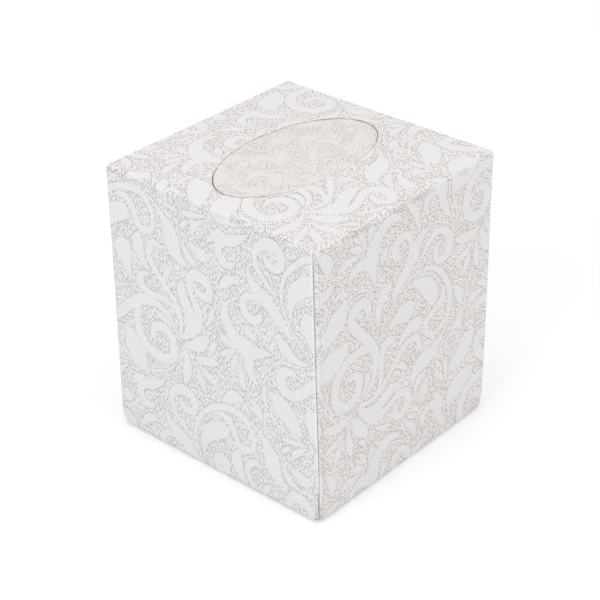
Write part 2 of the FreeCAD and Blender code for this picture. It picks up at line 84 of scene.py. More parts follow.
# One repeat of the woven scroll. Each stroke is a spine of (right, up, width) from the fan's hub.
STROKES: Dict[str, Spine] = {
    "curl above": [
        (7.3, 38.8, 1.5), (8.3, 42.3, 3.7), (6.8, 46.3, 4.6), (2.5, 47.6, 5.2), (-1.8, 45.6, 5.2),
        (-2.3, 41.3, 5.0), (0.6, 36.6, 4.8), (5, 31.6, 4.8), (9.2, 26.8, 5.0), (12.3, 21.5, 5.0),
        (13.4, 15.5, 4.2), (13, 10.5, 3.3), (10, 5, 2.7), (5.2, 1.6, 1.4), (0.4, 0.1, 0.5)],
    "big spiral": [
        (11.5, 22, 1.0), (8.5, 23.6, 2.5), (4.5, 25.1, 4.0), (0, 25.2, 4.6), (-5.5, 23.8, 4.8),
        (-10, 20, 5.0), (-12.5, 14, 5.0), (-12.3, 8, 5.0), (-8.8, 3.8, 4.8), (-3.2, 2.9, 4.6),
        (1.3, 5.2, 4.8), (2.9, 10, 4.9), (1.4, 14, 4.4), (-1.8, 15.7, 3.4), (-5, 15, 2.0),
        (-7.2, 13.9, 0.5)],
    "crescent": [(6.8, 13.2, 0.6), (8.1, 10.5, 3.2), (7.4, 7, 2.6), (5.2, 4, 1.4), (3.2, 2.4, 0.4)],
    "upright hook": [
        (12.5, -0.9, 0.6), (15.4, 1.4, 2.0), (17, 5.5, 3.0), (17.2, 12, 3.4), (17.3, 17, 3.8),
        (19, 20.6, 4.6), (22.2, 21.6, 4.8), (25.3, 19.6, 3.0), (26.9, 15.2, 0.5)],
    "hook scroll": [
        (0.5, -0.3, 0.5), (5, -1.8, 2.0), (10, -2.4, 2.4), (15, -1.2, 2.6), (20, 1.9, 2.8),
        (24.5, 6.4, 3.0), (29, 11, 3.2), (34, 14.6, 3.3), (38.5, 15, 3.4), (42, 12.6, 3.4),
        (42.6, 9, 2.8), (40.2, 6.8, 0.8)],
    "bean": [(19, 27.4, 0.5), (23, 28.2, 2.4), (27, 29.6, 6.0), (31, 30.4, 9.0), (34, 30.4, 9.8)],
    "low bean": [(28, 14.3, 0.5), (31.5, 18.4, 3.6), (36, 20.8, 6.0), (41, 21.4, 6.0), (44.8, 19.7, 1.5)],
    "big arc": [
        (15, 27.5, 0.4), (19, 32.5, 0.9), (24.5, 38.2, 1.2), (30.5, 42.6, 1.4), (37, 45.4, 1.5),
        (43.5, 46, 1.7), (50, 44.3, 2.1), (55.5, 40.4, 2.6), (60, 35, 3.0), (62.8, 29, 3.3),
        (63.8, 23, 3.4), (62.8, 17, 3.2), (59, 12.6, 2.8), (53.5, 10.7, 2.6), (49, 12, 3.2),
        (46.9, 15.6, 3.6), (47.6, 19.6, 3.6), (51.4, 21.5, 3.4), (55.5, 23.4, 4.0), (58.4, 26.3, 3.6),
        (59.2, 30, 2.4), (58, 32.8, 0.5)],
    "arc drop": [
        (31, 40.9, 0.4), (36, 41.4, 1.8), (41, 40.8, 4.6), (46, 37.6, 7.4), (50, 32.8, 8.6),
        (51.5, 29.2, 8.0)],
    "petal west": [
        (-1.2, -1.6, 0.4), (-5.5, -4.4, 3.0), (-11, -4.9, 5.0), (-16, -3.7, 4.4), (-19.5, -2.6, 2.0)],
    "petal west low": [(-6.4, -8.8, 0.4), (-11.5, -11.8, 2.8), (-16, -13.2, 3.4), (-20, -15.2, 1.0)],
    "petal south west": [(-7.8, -12.5, 0.5), (-9.8, -16, 3.4), (-11.8, -19.5, 4.0), (-13.8, -22.8, 1.0)],
    "petal south": [(-4.2, -9.4, 0.8), (-4.2, -14, 3.2), (-3.4, -18.4, 4.6), (-2.6, -22, 3.0)],
    "petal south east": [(-0.9, -4.6, 0.8), (0.6, -9, 5.0), (3.6, -13.6, 6.6), (7.2, -17.2, 3.4)],
    "bud": [(-7.7, -22.4, 0.6), (-7.8, -25.4, 2.2), (-8.4, -28.4, 0.8)],
    "small petal": [(2.2, -18.9, 0.6), (4.8, -20.8, 3.0), (7, -23.2, 1.0)],
    "wave leaf": [
        (1.4, -1.4, 0.6), (4.6, -5.2, 3.6), (9.5, -8.6, 7.4), (15.5, -7.8, 6.2), (21, -5.4, 6.0),
        (26, -3.6, 5.0), (31.3, -4.9, 0.5)],
    "low scroll": [
        (7, -10.5, 1.0), (11.5, -12.8, 4.4), (17, -13.3, 4.0), (22, -11.4, 3.6), (26, -9.3, 3.4),
        (31, -8.7, 4.0), (34.8, -11, 5.0), (35.5, -15.2, 5.4), (33.6, -19, 4.8), (30.2, -20.7, 3.9),
        (27.3, -18.6, 3.8), (27, -15, 3.6), (28.8, -12.8, 2.6), (30, -13, 1.0)],
    "low leaf": [(13.2, -17, 0.4), (16.5, -19.6, 2.2), (20.5, -21.3, 2.8), (24.5, -21.8, 0.8)],
    "fan north": [(9.6, -34.4, 0.5), (10.2, -31, 2.6), (11.2, -27.6, 3.6), (11.6, -25.8, 1.5)],
    "fan north west": [(8.3, -35, 0.5), (5.8, -30, 2.8), (3.2, -25.8, 1.6)],
    "fan stripe": [(5, -32.2, 0.4), (2, -28.8, 1.8), (-0.2, -27.4, 0.6)],
    "fan west upper": [(6.4, -35.4, 0.5), (2.4, -33.4, 3.6), (-2, -31.6, 1.4)],
    "fan west": [(4, -36.2, 0.5), (-1.5, -36.8, 3.0), (-5.5, -37.2, 4.2), (-8.8, -38.4, 1.6)],
    "fork west": [(10, 63.5, 5.0), (5, 65.4, 5.6), (0.2, 65, 4.6), (-3.4, 62.8, 3.0), (-4.3, 60.2, 0.6)],
    "fork east": [
        (12.7, 51, 0.5), (11.8, 56, 2.6), (10.3, 61.5, 6.5), (10.4, 67, 9.0), (12.6, 72.4, 7.2),
        (17, 76.4, 6.0), (22, 78.4, 4.6), (26.6, 77.2, 2.8), (30, 74.6, 0.5)],
    "leaf stem": [
        (-10.5, 52.6, 0.8), (-4, 53.7, 0.9), (2, 54.1, 1.0), (6.4, 53, 1.2), (9.4, 50.2, 1.2),
        (11.2, 46.6, 1.2), (11.8, 41.5, 1.1), (12.8, 35.8, 0.8), (14.4, 30.5, 0.4)],
    "upright drop": [(16, 31, 0.5), (14.8, 36, 2.8), (15.6, 41, 4.8), (18.4, 45.4, 6.0), (21.6, 48, 4.0)],
    "fork leaf": [(20.4, 67, 1.6), (17.6, 64, 3.6), (15.8, 60, 0.6)],
    "high curl": [
        (31, 51, 2.0), (34.6, 55.4, 3.0), (35.8, 61, 3.1), (34, 66, 3.4), (29.8, 67.6, 4.2),
        (25.6, 65.2, 4.7), (25.2, 61, 4.0), (27.6, 58.3, 3.0), (30, 58, 1.0)],
    "high trunk": [
        (23.4, 39.6, 0.5), (27, 44.2, 4.2), (31, 48.2, 6.0), (35, 52.4, 6.4), (38.2, 57, 6.2),
        (40.6, 61, 5.0), (44, 63.6, 2.8), (50, 63.9, 0.4)],
    "hook leaf": [
        (33.9, -26.1, 1.0), (37, -28.6, 3.6), (39.6, -31.6, 4.4), (40.8, -34.9, 3.0), (40, -38, 0.5)],
    "high scroll": [
        (35.5, 46, 0.4), (40, 49.3, 1.4), (44.4, 54.2, 2.4), (48.6, 58.3, 3.0), (53.6, 60.2, 2.9),
        (58.4, 58.6, 3.8), (61.6, 54.4, 5.2), (62, 50.2, 5.5), (60, 46.4, 4.6), (56.6, 45.3, 3.5),
        (53.2, 47, 3.5), (52.3, 51, 3.6), (54.4, 54, 2.6), (57.4, 54.3, 1.0)],
    "loop": [
        (63.6, -43.1, 0.6), (60.8, -39.3, 3.6), (58.3, -34.3, 5.0), (57, -30, 5.0), (53.9, -27, 4.4),
        (50.2, -27, 4.2), (46.9, -29.6, 4.0), (46.8, -33.2, 3.0), (48.8, -35.8, 0.8)],
    "loop spike": [(53.4, -20.4, 0.4), (56, -23.2, 3.0), (58.6, -26.6, 4.4), (58.8, -30.5, 3.6)],
    "under stem": [
        (0, -0.2, 0.4), (-4.5, -0.1, 0.7), (-9.5, 1.0, 0.8), (-14.4, 4.0, 1.0), (-18.2, 8.8, 1.1),
        (-20.6, 14.2, 1.3), (-22, 20, 1.6)],
    "broad leaf": [
        (-22, 19.8, 1.0), (-19.3, 24.8, 10.0), (-14, 28, 11.6), (-8.6, 30.6, 8.6), (-4.6, 33.6, 1.6)],
    "tall leaf": [
        (-20.4, 36.6, 0.8), (-16.4, 40.8, 7.0), (-12.4, 45, 10.0), (-9, 49.2, 9.0), (-6.4, 53, 3.0)],
    "thin leaf": [(-14.2, 55.2, 0.4), (-10.4, 57.4, 2.6), (-6.8, 57, 2.2), (-3.6, 55.2, 0.4)],
    "arc leaf": [
        (38, -8.8, 0.6), (40, -3.6, 5.5), (44, -0.5, 8.6), (49, 0.8, 8.9), (53.5, 2.6, 6.4),
        (57.2, 5.4, 2.8), (60.6, 9.2, 1.5), (63.6, 14.4, 0.9)],
    "side leaf": [(40.2, -14.2, 0.8), (41.6, -10.4, 3.6), (44.8, -7.4, 3.4), (49, -5.7, 0.4)],
    "side drop": [(49.6, -8.8, 0.4), (47.6, -13, 4.0), (46, -17, 6.0), (46.4, -20.8, 2.4)],
    "inner leaf": [(25, 6.6, 0.4), (28.6, 6, 2.0), (32, 4.2, 3.4), (34.8, 1.4, 1.0)],
    "thin loop": [
        (61.6, -4.4, 0.8), (61.9, -0.6, 1.8), (63.4, 3, 1.6), (66.6, 4.2, 1.8), (69.6, 3, 2.0),
        (70.3, 0, 2.0), (68.8, -2.2, 2.0), (66.4, -1.2, 0.8)],
    "sprig east": [(65, -16.4, 0.4), (66.6, -12.4, 2.8), (69.8, -9, 1.4)],
    "sprig bead": [(65.8, -9, 0.5), (66.6, -6, 2.0), (67.6, -3.8, 0.8)],
    "sprig west high": [(55.4, -5.6, 1.6), (57.2, -7.6, 2.6), (59.4, -9.6, 0.8)],
    "sprig west": [(54.2, -11.4, 1.4), (57.6, -13.2, 3.6), (60.2, -16, 2.4), (62.4, -18.6, 0.5)],
    "sprig upright": [(61.8, -5.8, 1.4), (62.2, -10, 3.0), (63.2, -15.6, 2.0), (64.2, -20.2, 0.5)],
    "lone leaf": [(65.6, 5.6, 0.8), (69.6, 7.8, 5.2), (74.8, 11.4, 0.8)],
    "lone drop": [(66.3, 28.5, 0.8), (69, 25, 4.5), (71.4, 20.6, 5.6), (70.6, 16, 1.0)],
}


def smooth(value: float) -> float:
    """Returns a smooth step from 0 to 1 as value goes from 0 to 1."""
    held = min(max(value, 0.0), 1.0)
    return held * held * (3 - 2 * held)


class Side(Enum):
    """The part of the unfolded sheet that covers one side of the box."""

    TOP = "top"
    FRONT = "front"
    RIGHT = "right"
    BACK = "back"
    LEFT = "left"


ARMS = (Side.FRONT, Side.RIGHT, Side.BACK, Side.LEFT)


@dataclass(frozen=True)
class BoxForm:
    """The rounded box under the cloth's face, and how the flat sheet folds round it.

    Attributes:
        half_width: half the box's width, along X.
        half_depth: half its depth, along Y.
        top: height of the top's edges.
        swell: how far the middle of the top stands above its edges.
        edge: radius of the top, bottom and upright edges.
        base_corners: radius of each bottom corner, by whether x and then y is above zero.
        hem: how far the cloth is turned under the base.
        lap_angle: how far a lap reaches round its upright corner.
        lap_rise: how far a lap's edge stands up.
        lap_roll: radius by which that edge is rolled under.
        lap_run: how far from its edge a lap starts to rise.
        lap_lean: how far a lap's edge wanders round the corner on its way down.
        lean_from: where the wandering starts, below the top.
        lean_over: the length that it goes on for.
        lean_level: the share of it that lies behind the corner.
        tuck: length of the cloth that goes in under a lap.
        tuck_depth: how deep that cloth lies.
    """

    half_width: float = 57.55
    half_depth: float = 58.3
    top: float = 129.35
    swell: float = 2.0
    edge: float = 2.2
    base_corners: Tuple[Tuple[float, float], Tuple[float, float]] = ((4.2, 4.8), (5.5, 5.5))
    hem: float = 13.0
    lap_angle: float = math.radians(24)
    lap_rise: float = 0.42
    lap_roll: float = 0.24
    lap_run: float = 6.0
    lap_lean: float = 2.0
    lean_from: float = 10.0
    lean_over: float = 98.0
    lean_level: float = 0.62
    tuck: float = 1.1
    tuck_depth: float = 0.12

    @property
    def flat_x(self) -> float:
        """Half the flat width of the top."""
        return self.half_width - self.edge

    @property
    def flat_y(self) -> float:
        """Half the flat depth of the top."""
        return self.half_depth - self.edge

    @property
    def bend(self) -> float:
        """Length of cloth over one rounded edge."""
        return self.edge * math.pi / 2

    @property
    def wall(self) -> float:
        """Flat height of a side."""
        return self.top - 2 * self.edge

    @property
    def wall_end(self) -> float:
        """Run down from the top to the start of the bottom bend."""
        return self.bend + self.wall

    @property
    def foot(self) -> float:
        """Run down from the top to the end of the bottom bend."""
        return 2 * self.bend + self.wall

    @property
    def hem_depth(self) -> float:
        """Flat depth of the hem under the base."""
        return self.hem - self.edge

    @property
    def fall(self) -> float:
        """Run down from the top to the cut edge of the hem."""
        return self.foot + self.hem - self.edge

    @property
    def lean(self) -> float:
        """How far a lap reaches round its corner, along the cloth."""
        return self.edge * self.lap_angle

    @property
    def wrap(self) -> float:
        """How far a side's cloth runs round its other corner, to the lap that covers it."""
        return self.edge * (math.pi / 2 - self.lap_angle)

    def dome(self, x: float, y: float) -> float:
        """Returns how far the filled box's top swells at a point."""
        across = min(abs(x) / self.flat_x, 1.0)
        up = min(abs(y) / self.flat_y, 1.0)
        return self.swell * (1 - across ** 2) * (1 - up ** 2)

    def arm(self, side: Side) -> Tuple[Vector, Vector, float, float]:
        """Returns a side's outward and rightward directions, and its flat half width and reach.

        Args:
            side: one of the four upright sides.

        Returns:
            The outward direction, the direction to the right as seen from outside, half of the
            side's flat width, and how far the side's flat edge is from the box's axis.
        """
        facing = {
            Side.FRONT: (Vector((0, -1, 0)), Vector((1, 0, 0)), self.flat_x, self.flat_y),
            Side.RIGHT: (Vector((1, 0, 0)), Vector((0, 1, 0)), self.flat_y, self.flat_x),
            Side.BACK: (Vector((0, 1, 0)), Vector((-1, 0, 0)), self.flat_x, self.flat_y),
            Side.LEFT: (Vector((-1, 0, 0)), Vector((0, -1, 0)), self.flat_y, self.flat_x),
        }
        return facing[side]

    def to_arm(self, side: Side, x: float, y: float) -> Point:
        """Returns (run to the right, run down from the top) on an arm for a point of the sheet."""
        outward, rightward, _, reach = self.arm(side)
        run = x * rightward.x + y * rightward.y
        down = x * outward.x + y * outward.y - reach
        return run, down

    def to_sheet(self, side: Side, run: float, down: float) -> Point:
        """Returns the point of the sheet for a run to the right and down on an arm."""
        outward, rightward, _, reach = self.arm(side)
        place = outward * (reach + down) + rightward * run
        return place.x, place.y

    def drift(self, down: float) -> float:
        """Returns how far a lap's edge has wandered round the corner, a given way down from the top."""
        share = min(max((down - self.lean_from) / self.lean_over, 0.0), 1.0)
        return self.lap_lean * (share - self.lean_level)

    def rise(self, run: float, down: float, half: float) -> float:
        """Returns how far the cloth stands up near its lapped edge at the right of a side."""
        lap_edge = half + self.lean
        along = smooth((run - lap_edge + self.lap_run) / self.lap_run)
        start = smooth(down / 5.0)
        end = 1 - smooth((down - self.wall_end) / self.bend)
        return self.lap_rise * along ** 2 * start * end

    def trim(self, place: Vector) -> Vector:
        """Pulls a point in to the rounding of the nearest bottom corner."""
        radius = self.base_corners[place.x > 0][place.y > 0]
        if place.z > radius:
            return place
        sign_x = 1.0 if place.x > 0 else -1.0
        sign_y = 1.0 if place.y > 0 else -1.0
        diagonal = Vector((sign_x, sign_y, 0)).normalized()
        corner = Vector((sign_x * self.half_width, sign_y * self.half_depth, 0))
        back = self.edge * (math.sqrt(2) - 1) + radius
        centre = corner - diagonal * back + Vector((0, 0, radius))
        out = (place - centre).dot(diagonal)
        up = place.z - centre.z
        far = math.hypot(out, up)
        if out <= 0 or up >= 0 or far <= radius:
            return place
        pull = radius / far - 1
        return place + diagonal * (out * pull) + Vector((0, 0, up * pull))

    def fold(self, side: Side, x: float, y: float, lift: float = 0.0) -> Vector:
        """Folds a point of the flat sheet round the box.

        Args:
            side: the part of the sheet that the point belongs to.
            x: the point's place across the sheet.
            y: the point's place up the sheet.
            lift: how far the point stands out from the cloth's face.

        Returns:
            The point's place on the box.
        """
        if side is Side.TOP:
            return Vector((x, y, self.top + self.dome(x, y) + lift))
        outward, rightward, half, reach = self.arm(side)
        run, down = self.to_arm(side, x, y)
        rise = self.rise(min(run, half + self.lean), down, half)
        drift = self.drift(down)
        run += drift * smooth((abs(run) - half + 10) / 8)
        lean = self.lean + drift
        wrap = self.bend - lean
        past_lap = max(run - half - lean, 0.0)
        past_tuck = max(-run - half - wrap, 0.0)
        held = min(max(run - past_lap, -half), half)
        turn = max(run - past_lap - held, -wrap) / self.edge
        if down <= self.bend:
            tilt, level, inward = max(down, 0.0) / self.edge, self.top - self.edge, 0.0
        elif down <= self.wall_end:
            tilt, level, inward = math.pi / 2, self.top - self.edge - (down - self.bend), 0.0
        elif down <= self.foot:
            tilt, level, inward = math.pi / 2 + (down - self.wall_end) / self.edge, self.edge, 0.0
        else:
            tilt, level, inward = math.pi, self.edge, down - self.foot
        rise -= self.tuck_depth * smooth(past_tuck / 0.4)
        facing = turn - past_tuck / self.edge
        flat = outward * math.cos(facing) + rightward * math.sin(facing)
        normal = flat * math.sin(tilt) + Vector((0, 0, math.cos(tilt)))
        centre = outward * (reach - inward) + rightward * held + Vector((0, 0, level))
        place = centre + normal * (self.edge + rise + lift)
        if past_lap > 0:
            share = rise / self.lap_rise
            roll = min(past_lap / self.lap_roll, math.pi)
            ahead = rightward * math.cos(turn) - outward * math.sin(turn)
            size = self.lap_roll * share
            place += ahead * (size * math.sin(roll)) - normal * ((size + lift) * (1 - math.cos(roll)))
        return self.trim(place)


@dataclass(frozen=True)
class Opening:
    """The oval cut in the top, in the sheet's own plane.

    Attributes:
        length: the oval's size along X.
        breadth: its size along Y.
        x: how far right of the top's middle its own middle lies.
        y: how far behind it.
        scorch_ends: how brown the cut is at its left and right ends.
        scorch_sides: how brown it is along its near and far sides.
    """

    length: float = 89.4
    breadth: float = 47.7
    x: float = -1.9
    y: float = 0.4
    scorch_ends: Point = (1.0, 0.8)
    scorch_sides: Point = (0.34, 0.16)

    def ring(self, grow: float, count: int) -> List[Point]:
        """Returns an oval that runs a given distance outside the cut.

        Args:
            grow: how far outside the cut, negative for inside.
            count: number of points.

        Returns:
            The points, anticlockwise.
        """
        turns = [2 * math.pi * step / count for step in range(count)]
        long_half, short_half = self.length / 2, self.breadth / 2
        points = []
        for turn in turns:
            normal = Vector((math.cos(turn) / long_half, math.sin(turn) / short_half)).normalized()
            points.append((
                self.x + long_half * math.cos(turn) + normal.x * grow,
                self.y + short_half * math.sin(turn) + normal.y * grow))
        return points

    def outside(self, x: float, y: float) -> float:
        """Returns about how far a point lies outside the cut, negative inside."""
        across = (x - self.x) / (self.length / 2)
        up = (y - self.y) / (self.breadth / 2)
        size = math.hypot(across, up)
        if size < 1e-6:
            return -self.breadth / 2
        slope = math.hypot(across / (self.length / 2), up / (self.breadth / 2)) / size
        return (size - 1) / slope

    def scorch(self, x: float, y: float) -> float:
        """Returns how brown the cut is at a point: most at the narrow ends, least along the far side."""
        at_end = smooth((abs(x - self.x) * 2 / self.length - 0.62) / 0.3)
        side = self.scorch_sides[y >= self.y]
        return side + (self.scorch_ends[x >= self.x] - side) * at_end


@dataclass(frozen=True)
class Stroke:
    """One shape of the woven pattern, as a smooth spine with a width."""

    line: Tuple[Triple, ...]

    @classmethod
    def through(cls, spine: Spine, spacing: float = 1.15) -> "Stroke":
        """Returns a stroke that runs smoothly through the rows of a spine.

        Args:
            spine: rows of (right, up, width).
            spacing: the largest step between points, in mm.

        Returns:
            The stroke.
        """
        rows = [spine[0], *spine, spine[-1]]
        line = []
        for first, start, end, last in zip(rows, rows[1:], rows[2:], rows[3:]):
            count = max(2, math.ceil(math.dist(start[:2], end[:2]) / spacing))
            for step in range(count):
                t = step / count
                line.append(tuple(
                    0.5 * (2 * b + (c - a) * t + (2 * a - 5 * b + 4 * c - d) * t * t
                           + (3 * b - a - 3 * c + d) * t ** 3)
                    for a, b, c, d in zip(first, start, end, last)))
        line.append(tuple(spine[-1]))
        return cls(tuple(line))

    def half(self, index: int, grow: float) -> float:
        """Returns half the width at a row, moved out or in by grow.

        A small move, as at the satin's edge, is less where the stroke is narrow.
        """
        half = max(self.line[index][2], 0.3) / 2
        move = abs(grow) if abs(grow) > 0.5 else min(abs(grow), 0.45 * half)
        return half + math.copysign(move, grow)

    def outline(self, grow: float) -> Tuple[List[Point], List[Tuple[int, int, int]]]:
        """Returns the stroke's closed outline, with round ends where it is wide.

        Args:
            grow: how far the outline lies outside the stroke's edge, negative for inside.

        Returns:
            The points in order, and the triangles between them that fill the stroke.
        """
        left, right, ends = [], [], []
        last = len(self.line) - 1
        for index, (across, up, _) in enumerate(self.line):
            before, after = self.line[max(index - 1, 0)], self.line[min(index + 1, last)]
            run = Vector((after[0] - before[0], after[1] - before[1])).normalized()
            half = self.half(index, grow)
            left.append((across - run.y * half, up + run.x * half))
            right.append((across + run.y * half, up - run.x * half))
            if index in (0, last):
                ends.append((across, up, run if index else -run, half))
        far_cap, near_cap = self.cap(ends[1]), self.cap(ends[0])
        opposite = 2 * last + 1 + len(far_cap)
        fill = []
        for index in range(last):
            fill.append((index, index + 1, opposite - index - 1))
            fill.append((index, opposite - index - 1, opposite - index))
        fill += [(last, last + step, last + step + 1) for step in range(1, len(far_cap) + 1)]
        fill += [(opposite, opposite + step, opposite + step + 1) for step in range(1, len(near_cap))]
        fill.append((opposite, opposite + len(near_cap), 0))
        return left + far_cap + right[::-1] + near_cap, fill

    @staticmethod
    def cap(end: Tuple[float, float, Vector, float]) -> List[Point]:
        """Returns the points of a round end, from the left side of its direction to the right."""
        across, up, run, half = end
        count = 2 if half < 0.7 else 6
        points = []
        for step in range(1, count):
            turn = math.pi * step / count
            side, ahead = math.cos(turn) * half, math.sin(turn) * half
            points.append((across - run.y * side + run.x * ahead, up + run.x * side + run.y * ahead))
        return points


@dataclass(frozen=True)
class ScrollPattern:
    """The half-drop repeat of the woven scroll over the whole sheet.

    A pull is a flat map (a, b, c, d, e, f), which takes x to a x + b y + c and y to d x + e y + f.

    Attributes:
        across: step from one repeat to the next across the sheet.
        along: step to the next one up the sheet.
        hub: the fan's hub in one repeat.
        reach_low: how far a repeat reaches to the left of its hub and below it.
        reach_high: how far it reaches to the right and above.
        edge: half the width of the slope round a stroke.
        halo: how far the flecked border round a stroke goes.
        top_pull: how the pattern is pulled on the top.
        front_pull: how it is pulled on the front.
        left_pull: how it is pulled on the left side.
        front_blend: how far before the middle the front's pull starts, and the width it takes.
        left_blend: how far left of the middle the left side's pull starts, and the width it takes.
        bulge: how far the top's pattern bulges back on the right, where that starts, and its width.
    """

    across: Point = (86.0, 53.5)
    along: Point = (-1.4, 107.0)
    hub: Point = (-34.1, -140.26)
    reach_low: Point = (34.0, 52.0)
    reach_high: Point = (84.0, 88.0)
    edge: float = 0.17
    halo: float = 1.1
    top_pull: Tuple[float, ...] = (1.0, 0.0, -2.7, -0.012, 0.961, -1.787)
    front_pull: Tuple[float, ...] = (0.9924, -0.0047, -1.247, 0.0031, 0.9896, -0.762)
    left_pull: Tuple[float, ...] = (1.0146, -0.009, -2.384, 0.0131, 0.9779, 1.088)
    front_blend: Point = (51.0, 11.0)
    left_blend: Point = (50.0, 16.0)
    bulge: Triple = (2.8, 5.0, 40.0)

    def copies(self, low: Point, high: Point) -> Iterable[Point]:
        """Yields the hub of every repeat that may reach into a window of the sheet."""
        for across in range(-6, 7):
            for along in range(-7, 8):
                x = self.hub[0] + self.across[0] * across + self.along[0] * along
                y = self.hub[1] + self.across[1] * across + self.along[1] * along
                in_x = low[0] - self.reach_high[0] < x < high[0] + self.reach_low[0]
                in_y = low[1] - self.reach_high[1] < y < high[1] + self.reach_low[1]
                if in_x and in_y:
                    yield x, y

    def lie(self, x: float, y: float) -> Point:
        """Returns where a point of the even pattern lies on the cloth as it is pulled round the box.

        Args:
            x: the point's place across the even pattern.
            y: its place up the even pattern.

        Returns:
            The point's place on the sheet.
        """
        on_left = smooth((-x - self.left_blend[0]) / self.left_blend[1])
        on_front = smooth((-y - self.front_blend[0]) / self.front_blend[1]) * (1 - on_left)
        shares = (1 - on_left - on_front, on_front, on_left)
        pulled = [
            (row[0] * x + row[1] * y + row[2], row[3] * x + row[4] * y + row[5])
            for row in (self.top_pull, self.front_pull, self.left_pull)]
        size, start, width = self.bulge
        bulge = size * smooth((x - start) / width) * shares[0]
        return (
            sum(share * point[0] for share, point in zip(shares, pulled)),
            sum(share * point[1] for share, point in zip(shares, pulled)) + bulge)


@dataclass
class FlatWeave:
    """A piece of the flat sheet, cut into triangles along the pattern's edges.

    Attributes:
        points: places on the sheet.
        triangles: the numbers of each triangle's points.
        satin: for each point 1 on the satin, or else 0.
        edge: for each point 1 on a stroke or its slope, or else 0.
        slopes: for each triangle whether it is on a stroke's slope.
    """

    points: List[Point]
    triangles: List[Tuple[int, int, int]]
    satin: List[float]
    edge: List[float]
    slopes: List[bool]


class Loom:
    """Cuts flat pieces of the sheet into triangles that follow the woven pattern.

    Attributes:
        cell: side of the squares that the strokes are filed by.
        tolerance: distance under which two points are one.
    """

    cell = 2.5
    tolerance = 1e-5

    def __init__(self, pattern: ScrollPattern) -> None:
        """Keeps the pattern and makes each stroke's outlines: outer, inner and border."""
        self.pattern = pattern
        self.outlines = []
        for spine in STROKES.values():
            stroke = Stroke.through(spine)
            border = stroke.outline(pattern.halo)[0][::2]
            self.outlines.append((stroke.outline(pattern.edge), stroke.outline(-pattern.edge), (border, [])))

    def laid(self, low: Point, high: Point, lie: Callable[[float, float], Point]) -> List[Tuple]:
        """Returns each stroke that reaches into a window of the sheet.

        Args:
            low: the window's lowest corner.
            high: the window's highest corner.
            lie: where a point of the even pattern lies on the sheet.

        Returns:
            For each stroke its outer and inner outline, each with the triangles that fill it, and the
            line that ends the flecked border round it.
        """
        found = []
        for hub_x, hub_y in self.pattern.copies(low, high):
            for stroke in self.outlines:
                outer, inner, halo = (
                    ([lie(hub_x + across, hub_y + up) for across, up in points], fill)
                    for points, fill in stroke)
                if (max(x for x, _ in outer[0]) < low[0] or min(x for x, _ in outer[0]) > high[0]
                        or max(y for _, y in outer[0]) < low[1] or min(y for _, y in outer[0]) > high[1]):
                    continue
                found.append((outer, inner, halo))
        return found

    def weave(
            self, boundary: Sequence[Point], lines: Sequence[Sequence[Point]], loose: Sequence[Point],
            inside: Callable[[float, float], bool],
            lie: Optional[Callable[[float, float], Point]] = None) -> FlatWeave:
        """Cuts one piece of the sheet into triangles.

        Args:
            boundary: the piece's closed outline.
            lines: further lines that triangles must follow, such as folds.
            loose: further points.
            inside: tells whether a point belongs to the piece.
            lie: where a point of the even pattern lies, if not as the cover's.

        Returns:
            The piece, with its satin areas marked.
        """
        low = (min(x for x, _ in boundary), min(y for _, y in boundary))
        high = (max(x for x, _ in boundary), max(y for _, y in boundary))
        strokes = self.laid(low, high, lie or self.pattern.lie)
        points: List[Vector] = []
        edges: List[Tuple[int, int]] = []

        def add(line: Sequence[Point], closed: bool) -> None:
            """Adds a line's points, and an edge between each two."""
            start = len(points)
            points.extend(Vector(point) for point in line)
            edges.extend((start + step, start + step + 1) for step in range(len(line) - 1))
            if closed:
                edges.append((start + len(line) - 1, start))

        add(boundary, True)
        for line in lines:
            add(line, False)
        for outlines in strokes:
            for line, _ in outlines:
                add(line, True)
        points.extend(Vector(point) for point in loose)
        found, _, faces, _, _, _ = delaunay_2d_cdt(points, edges, [], 0, self.tolerance, False)
        cells = self.file(strokes)
        kept, marks = [], []
        for face in faces:
            x = sum(found[index].x for index in face) / 3
            y = sum(found[index].y for index in face) / 3
            if low[0] <= x <= high[0] and low[1] <= y <= high[1] and inside(x, y):
                kept.append(tuple(face))
                marks.append(self.level(cells, x, y))
        satin = [0.0] * len(found)
        edge = [0.0] * len(found)
        for face, mark in zip(kept, marks):
            for index in face:
                if mark == 2:
                    satin[index] = 1.0
                if mark:
                    edge[index] = 1.0
        slopes = [mark == 1 for mark in marks]
        return FlatWeave([(point.x, point.y) for point in found], kept, satin, edge, slopes)

    def file(self, strokes: Sequence[Tuple]) -> Dict[Tuple[int, int], List[Tuple]]:
        """Returns the strokes' filling triangles with their levels, filed by the cells that they reach."""
        cells: Dict[Tuple[int, int], List[Tuple]] = {}
        for stroke in strokes:
            for level, (points, fill) in zip((1, 2, 0), stroke):
                for corners in fill:
                    (ax, ay), (bx, by), (cx, cy) = (points[index] for index in corners)
                    columns = range(int(min(ax, bx, cx) // self.cell), int(max(ax, bx, cx) // self.cell) + 1)
                    rows = range(int(min(ay, by, cy) // self.cell), int(max(ay, by, cy) // self.cell) + 1)
                    for column in columns:
                        for row in rows:
                            cells.setdefault((column, row), []).append((level, ax, ay, bx, by, cx, cy))
        return cells

    def level(self, cells: Dict[Tuple[int, int], List[Tuple]], x: float, y: float) -> int:
        """Returns 0 on the ground, 1 on a stroke's edge and 2 on its satin."""
        found = 0
        for level, ax, ay, bx, by, cx, cy in cells.get((int(x // self.cell), int(y // self.cell)), ()):
            if level <= found:
                continue
            first = (bx - ax) * (y - ay) - (by - ay) * (x - ax)
            second = (cx - bx) * (y - by) - (cy - by) * (x - bx)
            third = (ax - cx) * (y - cy) - (ay - cy) * (x - cx)
            if (first >= 0 and second >= 0 and third >= 0) or (first <= 0 and second <= 0 and third <= 0):
                found = level
                if found == 2:
                    break
        return found


